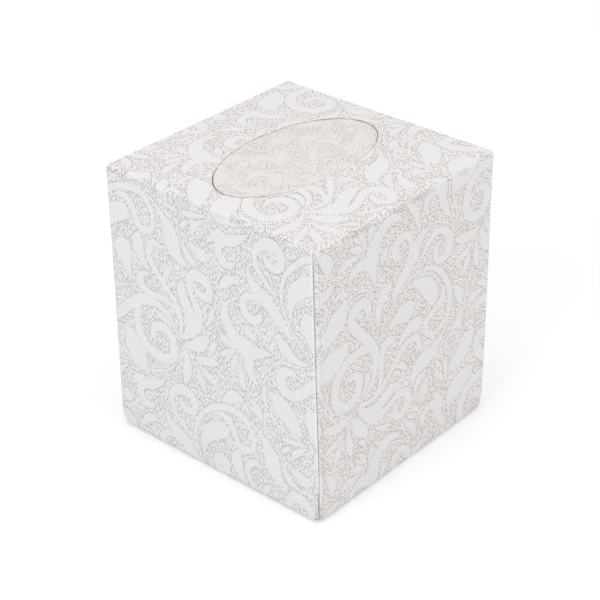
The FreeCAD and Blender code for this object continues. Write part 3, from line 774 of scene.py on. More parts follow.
class Marks(NamedTuple):
    """What the materials need to know at a point of the cloth, each from 0 to 1.

    Attributes:
        satin: on a satin stroke.
        char: browned by the cut.
        edge: on a stroke or on the slope round it.
        lap_shade: painted shade beside a lap, where the cloth tucks in under it.
        fold: painted highlight on the fold of a lap.
    """

    satin: float = 0.0
    char: float = 0.0
    edge: float = 0.0
    lap_shade: float = 0.0
    fold: float = 0.0


class Shell:
    """Gathers folded triangles into one mesh, joined where they meet.

    Attributes:
        joins: how many places where points can join there are to each mm.
    """

    joins = 2000

    def __init__(self, name: str) -> None:
        """Starts an empty mesh."""
        self.name = name
        self.places: List[Vector] = []
        self.normals: List[Vector] = []
        self.marks: List[Marks] = []
        self.known: Dict[Tuple[int, int, int], int] = {}
        self.faces: List[Tuple[int, int, int]] = []
        self.corners: List[Tuple[Point, Point, Point]] = []
        self.sharp: List[bool] = []

    def add_point(self, place: Vector, normal: Vector, marks: Marks = Marks()) -> int:
        """Adds a point, or finds the one already there, and returns its number."""
        key = tuple(round(value * self.joins) for value in place)
        index = self.known.get(key)
        if index is None:
            index = self.known[key] = len(self.places)
            self.places.append(place)
            self.normals.append(Vector((0, 0, 0)))
            self.marks.append(marks)
        self.normals[index] = self.normals[index] + normal
        return index

    def add_face(self, face: Tuple[int, int, int], corners: Tuple[Point, Point, Point], sharp: bool) -> None:
        """Adds a triangle with its place on the flat sheet, unless it has closed up."""
        if len(set(face)) == 3:
            self.faces.append(face)
            self.corners.append(corners)
            self.sharp.append(sharp)

    def add_piece(self, piece: FlatWeave, shape: Callable[[int], Tuple[Vector, Vector, Marks]],
                  sharp_slopes: bool) -> None:
        """Adds a piece of the flat sheet in its folded shape.

        Args:
            piece: the flat piece.
            shape: gives the place, outward direction and marks of the piece's point with a number.
            sharp_slopes: whether the strokes' slopes are shaded on their own.
        """
        used = {index for face in piece.triangles for index in face}
        where = {index: self.add_point(*shape(index)) for index in used}
        for face, slope in zip(piece.triangles, piece.slopes):
            corners = tuple(piece.points[index] for index in face)
            self.add_face(tuple(where[index] for index in face), corners, slope and sharp_slopes)

    def add_wall(self, ring: Sequence[Point], high: Sequence[int], low: Sequence[int]) -> None:
        """Adds a closed wall between a high and a low ring of points, with their places on the sheet."""
        for start in range(len(ring)):
            end = (start + 1) % len(ring)
            corners = (ring[start], ring[end], ring[end])
            self.add_face((high[start], low[start], low[end]), corners, True)
            self.add_face((high[start], low[end], high[end]), corners, True)

    def finish(self) -> bpy.types.Object:
        """Returns the mesh as an object at the origin, with its sheet map, marks and soft shading."""
        mesh = bpy.data.meshes.new(self.name)
        mesh.from_pydata([place * MM for place in self.places], [], self.faces)
        sheet_map = mesh.uv_layers.new(name="sheet")
        flat = [value for corners in self.corners for point in corners for value in point]
        sheet_map.data.foreach_set("uv", flat)
        for name, values in zip(Marks._fields, zip(*self.marks)):
            mark = mesh.attributes.new(name, "FLOAT", "POINT")
            mark.data.foreach_set("value", values)
        mesh.polygons.foreach_set("use_smooth", [True] * len(self.faces))
        upward = Vector((0, 0, 1))
        normals = [normal.normalized() if normal.length else upward for normal in self.normals]
        shading = []
        for face, sharp in zip(self.faces, self.sharp):
            if sharp:
                first, second, third = (self.places[index] for index in face)
                own = (second - first).cross(third - first).normalized()
                shading.extend([own] * 3)
            else:
                shading.extend(normals[index] for index in face)
        mesh.normals_split_custom_set(shading)
        return add_object(self.name, mesh)


def add_object(name: str, data: bpy.types.ID) -> bpy.types.Object:
    """Adds an object with its mesh, camera or light to the scene and returns it."""
    made = bpy.data.objects.new(name, data)
    bpy.context.scene.collection.objects.link(made)
    return made


class Shader:
    """Short calls for building a node tree."""

    def __init__(self, tree: bpy.types.NodeTree) -> None:
        """Keeps the tree that nodes are added to."""
        self.tree = tree

    def node(self, kind: str, **settings: object) -> bpy.types.Node:
        """Adds a node and sets its properties."""
        made = self.tree.nodes.new(kind)
        for name, value in settings.items():
            setattr(made, name, value)
        return made

    def join(self, source: object, target: bpy.types.NodeSocket) -> None:
        """Links an output to an input, or sets the input to a plain value."""
        if isinstance(source, bpy.types.NodeSocket):
            self.tree.links.new(source, target)
        else:
            target.default_value = source

    def math(self, operation: str, first: object, second: object = 0.0,
             clamp: bool = False) -> bpy.types.NodeSocket:
        """Adds a math node and returns its output."""
        made = self.node("ShaderNodeMath", operation=operation, use_clamp=clamp)
        self.join(first, made.inputs[0])
        self.join(second, made.inputs[1])
        return made.outputs[0]

    def ramp(self, value: object, low: object, high: object, to_low: float = 0.0, to_high: float = 1.0,
             kind: str = "SMOOTHSTEP") -> bpy.types.NodeSocket:
        """Maps a value's range to another and returns the output."""
        made = self.node("ShaderNodeMapRange", interpolation_type=kind)
        for socket, given in zip(made.inputs, (value, low, high, to_low, to_high)):
            self.join(given, socket)
        return made.outputs[0]

    def mix(self, share: object, first: object, second: object, kind: str = "RGBA") -> bpy.types.NodeSocket:
        """Mixes two colours, or two values of another kind, and returns the output."""
        made = self.node("ShaderNodeMix", data_type=kind)
        self.join(share, made.inputs["Factor"])
        self.join(first, made.inputs["A"])
        self.join(second, made.inputs["B"])
        return made.outputs["Result"]

    def noise(self, vector: object, scale: float, detail: float = 2.0,
              rough: float = 0.5) -> bpy.types.NodeSocket:
        """Adds a noise texture and returns its value."""
        made = self.node("ShaderNodeTexNoise")
        self.join(vector, made.inputs["Vector"])
        made.inputs["Scale"].default_value = scale
        made.inputs["Detail"].default_value = detail
        made.inputs["Roughness"].default_value = rough
        return made.outputs["Fac"]

    def mark(self, name: str) -> bpy.types.NodeSocket:
        """Returns one of the mesh's marks."""
        return self.node("ShaderNodeAttribute", attribute_name=name).outputs["Fac"]

    def sheet(self) -> bpy.types.NodeSocket:
        """Returns the place on the flat sheet, in mm."""
        return self.node("ShaderNodeUVMap", uv_map="sheet").outputs["UV"]

    def spot(self) -> bpy.types.NodeSocket:
        """Returns the place in the piece's own frame, in metres."""
        return self.node("ShaderNodeTexCoord").outputs["Object"]

    def seen(self) -> bpy.types.NodeSocket:
        """Returns 1 for what the camera sees, straight, mirrored or through film, and 0 for soft light."""
        rays = self.node("ShaderNodeLightPath").outputs
        beyond = self.math("MAXIMUM", rays["Is Glossy Ray"], rays["Is Transmission Ray"])
        return self.math("MAXIMUM", rays["Is Camera Ray"], beyond)

    def bump(self, surface: bpy.types.Node, height: object, strength: float, depth: float) -> None:
        """Gives a surface a relief, with its strength from 0 to 1 and its depth in mm."""
        made = self.node("ShaderNodeBump")
        made.inputs["Strength"].default_value = strength
        made.inputs["Distance"].default_value = depth * MM
        self.join(height, made.inputs["Height"])
        self.join(made.outputs["Normal"], surface.inputs["Normal"])

    def lattice(self, vector: object, pitch: object) -> bpy.types.NodeSocket:
        """Returns a plain weave's over and under, from -1 to 1, with one wavy thread to each pitch."""
        drift = self.node("ShaderNodeVectorMath", operation="SCALE")
        wander = self.node("ShaderNodeTexNoise", noise_dimensions="2D")
        self.join(vector, wander.inputs["Vector"])
        wander.inputs["Scale"].default_value = 0.06
        wander.inputs["Detail"].default_value = 1.0
        self.join(wander.outputs["Color"], drift.inputs[0])
        drift.inputs["Scale"].default_value = 0.5
        bent = self.node("ShaderNodeVectorMath", operation="ADD")
        self.join(vector, bent.inputs[0])
        self.join(drift.outputs["Vector"], bent.inputs[1])
        split = self.node("ShaderNodeSeparateXYZ")
        self.join(bent.outputs["Vector"], split.inputs[0])
        turn = self.math("DIVIDE", math.pi, pitch)
        warp = self.math("SINE", self.math("MULTIPLY", split.outputs["X"], turn))
        weft = self.math("SINE", self.math("MULTIPLY", split.outputs["Y"], turn))
        return self.math("MULTIPLY", warp, weft)

    def place(self, vector: object, turn: float, scale: Triple,
              shift: Triple = (0, 0, 0)) -> bpy.types.NodeSocket:
        """Turns, scales and shifts a vector and returns it."""
        made = self.node("ShaderNodeMapping")
        self.join(vector, made.inputs["Vector"])
        made.inputs["Rotation"].default_value = (0, 0, turn)
        made.inputs["Scale"].default_value = scale
        made.inputs["Location"].default_value = shift
        return made.outputs["Vector"]


def srgb(red: float, green: float, blue: float) -> Tuple[float, float, float, float]:
    """Returns a linear colour for a display colour written from 0 to 255."""
    def linear(value: float) -> float:
        """Returns the linear value of one channel."""
        share = value / 255
        return share / 12.92 if share <= 0.04045 else ((share + 0.055) / 1.055) ** 2.4
    return linear(red), linear(green), linear(blue), 1.0


def new_group(name: str, inputs: Sequence[Tuple[str, str, object]],
              outputs: Sequence[Tuple[str, str]]) -> Tuple[bpy.types.NodeTree, Shader, object, object]:
    """Starts a shader node group.

    Args:
        name: the group's name.
        inputs: (name, socket kind, default) of each input.
        outputs: (name, socket kind) of each output.

    Returns:
        The group, its shader helper, and its input and output nodes.
    """
    tree = bpy.data.node_groups.new(name, "ShaderNodeTree")
    for label, kind, default in inputs:
        socket = tree.interface.new_socket(label, in_out="INPUT", socket_type="NodeSocket" + kind)
        if default is not None:
            socket.default_value = default
    for label, kind in outputs:
        tree.interface.new_socket(label, in_out="OUTPUT", socket_type="NodeSocket" + kind)
    shader = Shader(tree)
    return tree, shader, shader.node("NodeGroupInput"), shader.node("NodeGroupOutput")


def fleck_weave_group() -> bpy.types.NodeTree:
    """Returns the group for the open ground weave: pale threads with brown and grey flecks."""
    tree, sh, given, result = new_group(
        "Fleck Weave",
        [("Sheet", "Vector", None), ("Thread", "Color", srgb(236, 233, 232)),
         ("Fleck", "Color", srgb(136, 122, 114)), ("Cool Fleck", "Color", srgb(120, 122, 130)),
         ("Pitch", "Float", THREAD_PITCH), ("Fleck Amount", "Float", 1.0), ("Edge", "Float", 0.0)],
        [("Color", "Color"), ("Height", "Float")])
    sheet, edge = given.outputs["Sheet"], given.outputs["Edge"]
    under = sh.ramp(sh.lattice(sheet, given.outputs["Pitch"]), -0.6, 0.8)
    slanted = sh.place(sheet, GRAIN_TURN, (0.62, 1.25, 1.0))
    spread = sh.noise(slanted, 1.0, 2.0, 0.7)
    even = sh.ramp(sh.noise(sheet, 0.1, 2.0), 0.35, 0.65, 0.516, 0.484)
    level = sh.math("SUBTRACT", even, sh.math("MULTIPLY", edge, 0.06))
    blot = sh.ramp(spread, sh.math("SUBTRACT", level, 0.06), sh.math("ADD", level, 0.10))
    knot = sh.math("MULTIPLY", blot, sh.ramp(under, 0.0, 1.0, 0.45, 1.0))
    fleck = sh.math("MULTIPLY", knot, given.outputs["Fleck Amount"])
    fleck = sh.math("ADD", fleck, sh.math("MULTIPLY", under, 0.16), clamp=True)
    cool = sh.ramp(sh.noise(sheet, 0.9, 2.0, 0.7), 0.42, 0.58)
    dark = sh.mix(cool, given.outputs["Fleck"], given.outputs["Cool Fleck"])
    sh.join(sh.mix(fleck, given.outputs["Thread"], dark), result.inputs["Color"])
    sh.join(sh.math("SUBTRACT", 1.0, knot), result.inputs["Height"])
    return tree


def satin_weave_group() -> bpy.types.NodeTree:
    """Returns the group for the close satin weave: off-white floats, tied down at every other thread."""
    tree, sh, given, result = new_group(
        "Satin Weave",
        [("Sheet", "Vector", None), ("Float Color", "Color", srgb(246, 243, 244)),
         ("Shade Color", "Color", srgb(222, 219, 219)), ("Pitch", "Float", THREAD_PITCH),
         ("Shade", "Float", 0.75)],
        [("Color", "Color"), ("Height", "Float")])
    sheet = given.outputs["Sheet"]
    under = sh.ramp(sh.lattice(sheet, given.outputs["Pitch"]), -0.9, 0.9)
    slanted = sh.place(sheet, GRAIN_TURN, (0.7, 1.2, 1.0))
    grain = sh.ramp(sh.noise(slanted, 1.5, 3.0, 0.7), 0.36, 0.64)
    both = sh.math("ADD", sh.math("MULTIPLY", under, 0.4), sh.math("MULTIPLY", grain, 0.6))
    shade = sh.math("MULTIPLY", both, given.outputs["Shade"], clamp=True)
    sh.join(sh.mix(shade, given.outputs["Float Color"], given.outputs["Shade Color"]), result.inputs["Color"])
    sh.join(sh.math("SUBTRACT", 1.0, sh.math("MULTIPLY", under, 0.6)), result.inputs["Height"])
    return tree


def place_group(sh: Shader, tree: bpy.types.NodeTree, **values: object) -> bpy.types.Node:
    """Adds a group to a material and sets its inputs by name, with spaces written as underscores."""
    made = sh.node("ShaderNodeGroup", node_tree=tree)
    for name, value in values.items():
        sh.join(value, made.inputs[name.replace("_", " ")])
    return made


def new_material(name: str, roughness: float) -> Tuple[bpy.types.Material, Shader, bpy.types.Node]:
    """Returns a new material with its shader helper and its principled shader."""
    material = bpy.data.materials.new(name)
    material.use_nodes = True
    shader = Shader(material.node_tree)
    surface = material.node_tree.nodes["Principled BSDF"]
    surface.inputs["Roughness"].default_value = roughness
    return material, shader, surface


@dataclass(frozen=True)
class ClothFinish:
    """The figured cloth: open flecked ground, close satin scrolls, browned where it was cut.

    Attributes:
        bends: how far from the middle the top starts to bend, along X and along Y.
        thread: the ground's threads.
        fleck: its brown flecks.
        cool_fleck: its grey flecks.
        open_thread_and_shade: dark threads along the top's edges, with painted shade in the opened weave
            between them.
        satin: the scrolls.
        satin_shade: the grain in them.
        burnt: the cloth beside the cut.
        shadow: painted shade on the line beside a lap.
        fold: painted highlight along the lap's fold.
        fleck_amount: how strongly the flecks show.
        relief: depth of the threads, in mm.
        row_pitch: distance between the rows of dark threads, in mm.
    """

    bends: Point
    thread: Triple = (247, 245, 244)
    fleck: Triple = (124, 68, 28)
    cool_fleck: Triple = (70, 58, 62)
    open_thread_and_shade: Triple = (92, 76, 70)
    satin: Triple = (245, 243, 243)
    satin_shade: Triple = (212, 209, 209)
    burnt: Triple = (138, 98, 68)
    shadow: Triple = (166, 148, 154)
    fold: Triple = (252, 250, 250)
    fleck_amount: float = 0.51
    relief: float = 0.22
    row_pitch: float = 0.9

    def edge_threads_and_shade(self, sh: Shader, sheet: object) -> bpy.types.NodeSocket:
        """Returns where dark threads and painted shade show in broken rows, as the cloth is stretched over
        the top's edges.

        Args:
            sh: the material's shader helper.
            sheet: the place on the flat sheet.

        Returns:
            The output that holds the share of dark thread and painted shade.
        """
        flat = sh.node("ShaderNodeSeparateXYZ")
        sh.join(sheet, flat.inputs[0])
        past = [sh.math("SUBTRACT", sh.math("ABSOLUTE", flat.outputs[axis]), bend)
                for axis, bend in zip("XY", self.bends)]
        far, near = sh.math("MAXIMUM", *past), sh.math("MINIMUM", *past)
        band = sh.math("MULTIPLY", sh.ramp(far, 1.6, 2.1), sh.ramp(far, 3.6, 4.6, 1.0, 0.0))
        band = sh.math("MULTIPLY", band, sh.ramp(near, -1.0, 0.5, 1.0, 0.0))
        wave = sh.math("SINE", sh.math("MULTIPLY", far, 2 * math.pi / self.row_pitch))
        rows = sh.ramp(wave, -0.1, 0.7)
        patches = sh.ramp(sh.noise(sheet, 0.07, 1.0), 0.47, 0.57)
        broken = sh.ramp(sh.noise(sheet, 1.1, 2.0, 0.7), 0.38, 0.56)
        return sh.math("MULTIPLY", sh.math("MULTIPLY", band, rows), sh.math("MULTIPLY", patches, broken))

    def build(self, ground: bpy.types.NodeTree, satin: bpy.types.NodeTree) -> bpy.types.Material:
        """Returns the cloth's material.

        Args:
            ground: the ground weave's group.
            satin: the satin weave's group.

        Returns:
            The material, which reads the mesh's sheet map and its marks.
        """
        material, sh, surface = new_material("figured_cloth", 0.86)
        sheet = sh.sheet()
        open_weave = place_group(sh, ground, Sheet=sheet, Thread=srgb(*self.thread), Fleck=srgb(*self.fleck),
                                 Cool_Fleck=srgb(*self.cool_fleck), Fleck_Amount=self.fleck_amount,
                                 Edge=sh.mark("edge"))
        close_weave = place_group(sh, satin, Sheet=sheet, Float_Color=srgb(*self.satin),
                                  Shade_Color=srgb(*self.satin_shade))
        rough_edge = sh.math("MULTIPLY", sh.math("SUBTRACT", sh.noise(sheet, 1.5), 0.5), 0.6)
        figure = sh.ramp(sh.math("ADD", sh.mark("satin"), rough_edge), 0.25, 0.75)
        colour = sh.mix(figure, open_weave.outputs["Color"], close_weave.outputs["Color"])
        # Dark threads along the top's edges, with painted shade in the opened weave.
        stretched_threads_and_shade = sh.math("MULTIPLY", self.edge_threads_and_shade(sh, sheet), 0.5)
        colour = sh.mix(stretched_threads_and_shade, colour, srgb(*self.open_thread_and_shade))
        # Painted highlight on the lap's rolled fold.
        colour = sh.mix(sh.math("MULTIPLY", sh.mark("fold"), 0.8), colour, srgb(*self.fold))
        # Painted shade beside each lap, broken up by noise.
        broken = sh.ramp(sh.noise(sheet, 0.8, 2.0), 0.3, 0.6, 0.62, 1.0)
        colour = sh.mix(sh.math("MULTIPLY", sh.mark("lap_shade"), broken), colour, srgb(*self.shadow))
        colour = sh.mix(sh.mark("char"), colour, srgb(*self.burnt))
        sh.join(colour, surface.inputs["Base Color"])
        sh.join(sh.ramp(figure, 0.0, 1.0, 0.92, 0.72), surface.inputs["Roughness"])
        raised = sh.math("ADD", close_weave.outputs["Height"], 0.4)
        height = sh.mix(figure, open_weave.outputs["Height"], raised, "FLOAT")
        sh.bump(surface, height, 0.35, self.relief)
        surface.inputs["Specular IOR Level"].default_value = 0.25
        surface.inputs["Sheen Weight"].default_value = 0.08
        surface.inputs["Sheen Roughness"].default_value = 0.5
        return material


@dataclass(frozen=True)
class PanelFinish:
    """The loose oval's cloth: flatter and greyer than the cover, its figure only faintly woven."""

    thread: Triple = (238, 234, 230)
    fleck: Triple = (148, 136, 122)
    cool_fleck: Triple = (136, 134, 132)
    satin: Triple = (236, 233, 229)
    burnt: Triple = (148, 110, 80)

    def build(self, ground: bpy.types.NodeTree) -> bpy.types.Material:
        """Returns the panel's material, which reads the mesh's sheet map and its marks."""
        material, sh, surface = new_material("panel_cloth", 0.9)
        sheet = sh.sheet()
        blotch = sh.ramp(sh.noise(sheet, 0.09, 3.0, 0.55), 0.38, 0.62)
        flecks = sh.ramp(blotch, 0.0, 1.0, 0.6, 0.34)
        weave = place_group(sh, ground, Sheet=sheet, Thread=srgb(*self.thread), Fleck=srgb(*self.fleck),
                            Cool_Fleck=srgb(*self.cool_fleck), Fleck_Amount=flecks)
        shown = sh.ramp(blotch, 0.0, 1.0, 0.3, 0.62)
        faint = sh.math("MULTIPLY", sh.ramp(sh.mark("satin"), 0.1, 0.9), shown)
        colour = sh.mix(faint, weave.outputs["Color"], srgb(*self.satin))
        colour = sh.mix(sh.mark("char"), colour, srgb(*self.burnt))
        sh.join(colour, surface.inputs["Base Color"])
        sh.bump(surface, weave.outputs["Height"], 0.25, 0.15)
        surface.inputs["Specular IOR Level"].default_value = 0.2
        return material


@dataclass(frozen=True)
class BoardFinish:
    """Grey recycled board with short fibres, browned round the cut oval."""

    pale: Triple = (190, 184, 172)
    dark: Triple = (158, 150, 138)
    burnt: Triple = (116, 74, 46)

    def build(self, opening: Opening, top: float) -> bpy.types.Material:
        """Returns the board's material.

        Args:
            opening: the oval cut.
            top: the height of the top, in mm.

        Returns:
            The material, which reads Object coordinates.
        """
        material, sh, surface = new_material("greyboard", 0.9)
        place = sh.spot()
        fibres = sh.ramp(sh.noise(sh.place(place, 0.4, (1.0, 2.6, 1.0)), 900.0, 4.0, 0.7), 0.35, 0.65)
        cloud = sh.ramp(sh.noise(place, 60.0, 3.0), 0.3, 0.7, 0.2, 0.9)
        colour = sh.mix(sh.math("MULTIPLY", fibres, cloud), srgb(*self.pale), srgb(*self.dark))
        long_half, short_half = opening.length / 2, opening.breadth / 2
        centred = sh.place(place, 0.0, (1 / (long_half * MM), 1 / (short_half * MM), 0.0),
                           (-opening.x / long_half, -opening.y / short_half, 0.0))
        far = sh.node("ShaderNodeVectorMath", operation="LENGTH")
        sh.join(centred, far.inputs[0])
        near_cut = sh.ramp(far.outputs["Value"], 1.004, 1.03, 1.0, 0.0)
        height = sh.node("ShaderNodeSeparateXYZ")
        sh.join(place, height.inputs[0])
        high = sh.ramp(height.outputs["Z"], (top - 4) * MM, (top - 3) * MM)
        colour = sh.mix(sh.math("MULTIPLY", near_cut, high), colour, srgb(*self.burnt))
        sh.join(colour, surface.inputs["Base Color"])
        sh.bump(surface, fibres, 0.2, 0.05)
        return material


@dataclass(frozen=True)
class FilmFinish:
    """Thin clear film with a faint haze of handling marks."""

    tint: Triple = (238, 240, 241)
    haze_tint: Triple = (222, 225, 227)

    def build(self) -> bpy.types.Material:
        """Returns the film's material, which reads Object coordinates."""
        material, sh, surface = new_material("clear_film", 0.18)
        place = sh.spot()
        haze = sh.noise(sh.place(place, 0.3, (1.0, 4.0, 1.0)), 120.0, 4.0, 0.6)
        sh.join(sh.mix(haze, srgb(*self.tint), srgb(*self.haze_tint)), surface.inputs["Base Color"])
        sh.join(sh.ramp(haze, 0.3, 0.7, 0.12, 0.3), surface.inputs["Roughness"])
        surface.inputs["Alpha"].default_value = 0.4
        return material


@dataclass(frozen=True)
class TissueFinish:
    """Soft white tissue: fine crepe across it, and the edges of the folded leaves along its sides."""

    leaf: Triple = (246, 245, 243)
    shade: Triple = (224, 222, 219)

    def build(self) -> bpy.types.Material:
        """Returns the tissues' material, which reads Object coordinates."""
        material, sh, surface = new_material("tissue_leaves", 0.95)
        place = sh.spot()
        crepe = sh.noise(sh.place(place, 0.0, (1.0, 5.0, 5.0)), 700.0, 3.0, 0.6)
        leaves = sh.noise(sh.place(place, 0.0, (0.05, 1.0, 0.05)), 1500.0, 2.0, 0.5)
        shade = sh.math("MULTIPLY", sh.ramp(leaves, 0.45, 0.6), sh.ramp(crepe, 0.35, 0.65, 0.3, 0.8))
        sh.join(sh.mix(shade, srgb(*self.leaf), srgb(*self.shade)), surface.inputs["Base Color"])
        sh.bump(surface, sh.math("ADD", crepe, leaves), 0.4, 0.1)
        return material


@dataclass
class ClothCover:
    """The cloth over the top and sides, with its woven relief, laps and hem.

    Attributes:
        form: the box that the cloth is folded round.
        opening: the oval cut.
        loom: cuts the flat pieces.
        satin_lift: how far the satin stands up.
        grid: distance between the points of the plain cloth.
        edge_steps: number of steps round a bend.
        ring_points: number of points round the oval.
        hem_spacing: distance between the points of an arm's outline.
        cut_wall: depth of the cloth's cut edge in the oval.
        sink: how far the cloth is pressed down beside the cut.
        top_wave: how uneven the top is.
        side_wave: how uneven the sides are.
        pleat: height of the small pleats near the bottom corners.
        raw_edge: height of the hem's cut edge.
        mitre_gap: half the gap in the hem's mitred corners.
        mitre_drop: how far below the bend a mitre starts.
        nodes: the solids that the cover stands for.
    """

    form: BoxForm
    opening: Opening
    loom: Loom
    satin_lift: float = 0.12
    grid: float = 9.0
    edge_steps: int = 6
    ring_points: int = 132
    hem_spacing: float = 3.0
    cut_wall: float = 0.5
    sink: float = 0.16
    top_wave: float = 0.22
    side_wave: float = 0.20
    pleat: float = 0.16
    raw_edge: float = 0.45
    mitre_gap: float = 0.3
    mitre_drop: float = 0.02
    nodes: Tuple[str, ...] = (
        "fabric_cover", "woven_scrolls_top", "woven_scrolls_front", "woven_scrolls_back",
        "woven_scrolls_left", "woven_scrolls_right")

    def settled(self, side: Side, x: float, y: float, lift: float = 0.0) -> Vector:
        """Returns a point of the cover, with the cloth's small unevenness added to the folded form."""
        place = self.form.fold(side, x, y, lift)
        if side is Side.TOP:
            return place + Vector((0, 0, self.uneven_top(x, y)))
        outward = self.form.arm(side)[0]
        run, down = self.form.to_arm(side, x, y)
        if down < self.form.wall_end + 1:
            return place + outward * self.uneven_side(side, run, down)
        return place

    def uneven_top(self, x: float, y: float) -> float:
        """Returns how far the top's cloth stands up or sinks: softly waved, and pressed down at the cut."""
        away = self.opening.outside(x, y)
        sink = self.sink * (1 - smooth(away / 0.7))
        wave = self.top_wave * smooth(away / 12) * noise.noise(Vector((x * 0.045, y * 0.06, 3.1)))
        fade = smooth((self.form.flat_x - abs(x)) / 6) * smooth((self.form.flat_y - abs(y)) / 6)
        return wave * fade - sink

    def uneven_side(self, side: Side, run: float, down: float) -> float:
        """Returns how far a side's cloth stands out: softly waved, with small pleats at its foot."""
        form = self.form
        outward, _, half, _ = form.arm(side)
        inside = smooth((half - abs(run)) / 8) * smooth(down / 12)
        inside *= 1 - smooth((down - form.wall_end) / form.bend)
        layer = 7.7 + outward.x * 5 + outward.y * 9
        wave = self.side_wave * noise.noise(Vector((run * 0.05, down * 0.04, layer)))
        low = smooth((down - form.wall_end + 16) / 14)
        near = smooth((abs(run) - half + 9) / 8)
        pleat = self.pleat * low * near * math.sin(run * 3.6 + down * 0.35)
        return wave * inside + pleat

    def normal(self, side: Side, x: float, y: float) -> Vector:
        """Returns the cover's outward direction at a point of the sheet."""
        here = self.settled(side, x, y)
        across = self.settled(side, x + SLOPE_STEP, y) - here
        up = self.settled(side, x, y + SLOPE_STEP) - here
        found = across.cross(up)
        return found.normalized() if found.length > 1e-9 else Vector((0, 0, 0))

    def top_piece(self) -> FlatWeave:
        """Returns the flat weave of the top, without the oval."""
        form, opening = self.form, self.opening
        corners = [(-form.flat_x, -form.flat_y), (form.flat_x, -form.flat_y),
                   (form.flat_x, form.flat_y), (-form.flat_x, form.flat_y)]
        rings = [opening.ring(grow, self.ring_points) for grow in (0.0, 0.2, 0.45, 0.75)]
        lines = [ring + ring[:1] for ring in rings]
        loose = self.spots(-form.flat_x, form.flat_x, -form.flat_y, form.flat_y)
        limit = rings[0]

        def inside(x: float, y: float) -> bool:
            """Tells whether a point lies outside the oval's many-sided outline."""
            if opening.outside(x, y) > 0.1:
                return True
            hit = False
            for start, end in zip(limit, limit[1:] + limit[:1]):
                if (start[1] > y) != (end[1] > y):
                    if x < start[0] + (end[0] - start[0]) * (y - start[1]) / (end[1] - start[1]):
                        hit = not hit
            return not hit
        return self.loom.weave(self.closed(corners), lines, loose, inside)

    def spots(self, low_x: float, high_x: float, low_y: float, high_y: float) -> List[Point]:
        """Returns loose points spread evenly over a window."""
        width, height = high_x - low_x, high_y - low_y
        columns = max(1, round(width / self.grid))
        rows = max(1, round(height / self.grid))
        return [
            (low_x + width * (column + 0.5) / columns, low_y + height * (row + 0.5) / rows)
            for column in range(columns) for row in range(rows)]

    @staticmethod
    def closed(corners: Sequence[Point], spacing: float = 4.0) -> List[Point]:
        """Returns an outline through the corners with points at even steps along each side."""
        points = []
        for start, end in zip(corners, [*corners[1:], corners[0]]):
            count = max(1, round(math.dist(start, end) / spacing))
            points.extend(
                (start[0] + (end[0] - start[0]) * step / count, start[1] + (end[1] - start[1]) * step / count)
                for step in range(count))
        return points

    def arm_runs(self, side: Side) -> Tuple[List[float], float, float]:
        """Returns the lines that follow the bends at both ends of a side, and its lowest and highest run."""
        form = self.form
        half = form.arm(side)[2]
        lean, wrap = form.lean, form.wrap
        right = [half, half + lean / 2, half + lean - 0.05, half + lean]
        right += [half + lean + form.lap_roll * math.pi * step / 4 for step in range(1, 5)]
        left = [-half + 0.3, -half, -half - 0.3, -half - wrap / 3, -half - 2 * wrap / 3]
        left += [-half - wrap + 0.76, -half - wrap + 0.42, -half - wrap, -half - wrap - form.tuck]
        rise = [half + lean - form.lap_run * share for share in (1.0, 0.75, 0.5, 0.25)]
        return left + right + rise, min(left), max(right)

    def arm_piece(self, side: Side) -> FlatWeave:
        """Returns the flat weave of one side with its wraps and hem."""
        form = self.form
        runs, low, high = self.arm_runs(side)
        half = form.arm(side)[2]
        foot, depth = form.foot, form.hem_depth
        outline = [(low, 0.0), (low, foot), *self.hem_line(half), (high, foot), (high, 0.0)]
        bend_levels = [form.bend * step / self.edge_steps for step in range(self.edge_steps + 1)]
        levels = bend_levels + [form.wall_end + level for level in bend_levels]
        lines = [[(low, down), (high, down)] for down in levels]
        lines += [[(run, 0.0), (run, foot)] for run in runs]
        for step in range(1, 6):
            for run in (-half + 1.5 * step, half - 1.5 * step):
                lines.append([(run, form.wall_end - 16), (run, foot)])
        loose = self.spots(-half, half, form.bend, form.wall_end)

        def on_arm(run: float, down: float) -> bool:
            """Tells whether a point of the arm belongs to the cloth."""
            if down < -1e-6 or down > foot + depth:
                return False
            if down <= foot:
                return low <= run <= high
            return abs(run) <= half - self.mitre_gap - (down - foot) * (depth - self.mitre_gap) / depth

        def inside(x: float, y: float) -> bool:
            """Tells whether a point of the sheet belongs to the cloth."""
            return on_arm(*form.to_arm(side, x, y))

        def laid_out(line: Sequence[Point]) -> List[Point]:
            """Returns a line of the arm as it lies on the sheet."""
            return [form.to_sheet(side, *point) for point in line]
        boundary = laid_out(self.closed(outline, self.hem_spacing))
        return self.loom.weave(boundary, [laid_out(line) for line in lines], laid_out(loose), inside)

    def hem_line(self, half: float) -> List[Point]:
        """Returns the corners of the hem under a side of a given half width, from left to right."""
        foot, depth = self.form.foot, self.form.hem_depth
        outer, inner = half - self.mitre_gap, half - depth
        start, end = foot + self.mitre_drop, foot + depth
        return [(-outer, start), (-inner, end), (inner, end), (outer, start)]

    def char(self, side: Side, x: float, y: float) -> float:
        """Returns how brown the cloth's face is beside the oval cut."""
        if side is not Side.TOP:
            return 0.0
        return 0.7 * self.opening.scorch(x, y) * (1 - smooth(self.opening.outside(x, y) / 0.3))

    def corner_marks(self, side: Side, x: float, y: float) -> Tuple[float, float]:
        """Returns the painted shade at a point beside the lapped corner, and the painted highlight on the
        lap's fold.
        """
        form = self.form
        if side is Side.TOP:
            return 0.0, 0.0
        run, down = form.to_arm(side, x, y)
        half = form.arm(side)[2]
        lapped = -half - form.wrap
        end = 1 - smooth((down - form.wall_end) / form.bend)
        length = smooth((down - form.bend - 1.0) / 3.0) * end
        # Painted shade where the cloth tucks in under the lap.
        lap_shade = 1 - smooth((run - lapped - 0.42) / 0.34)
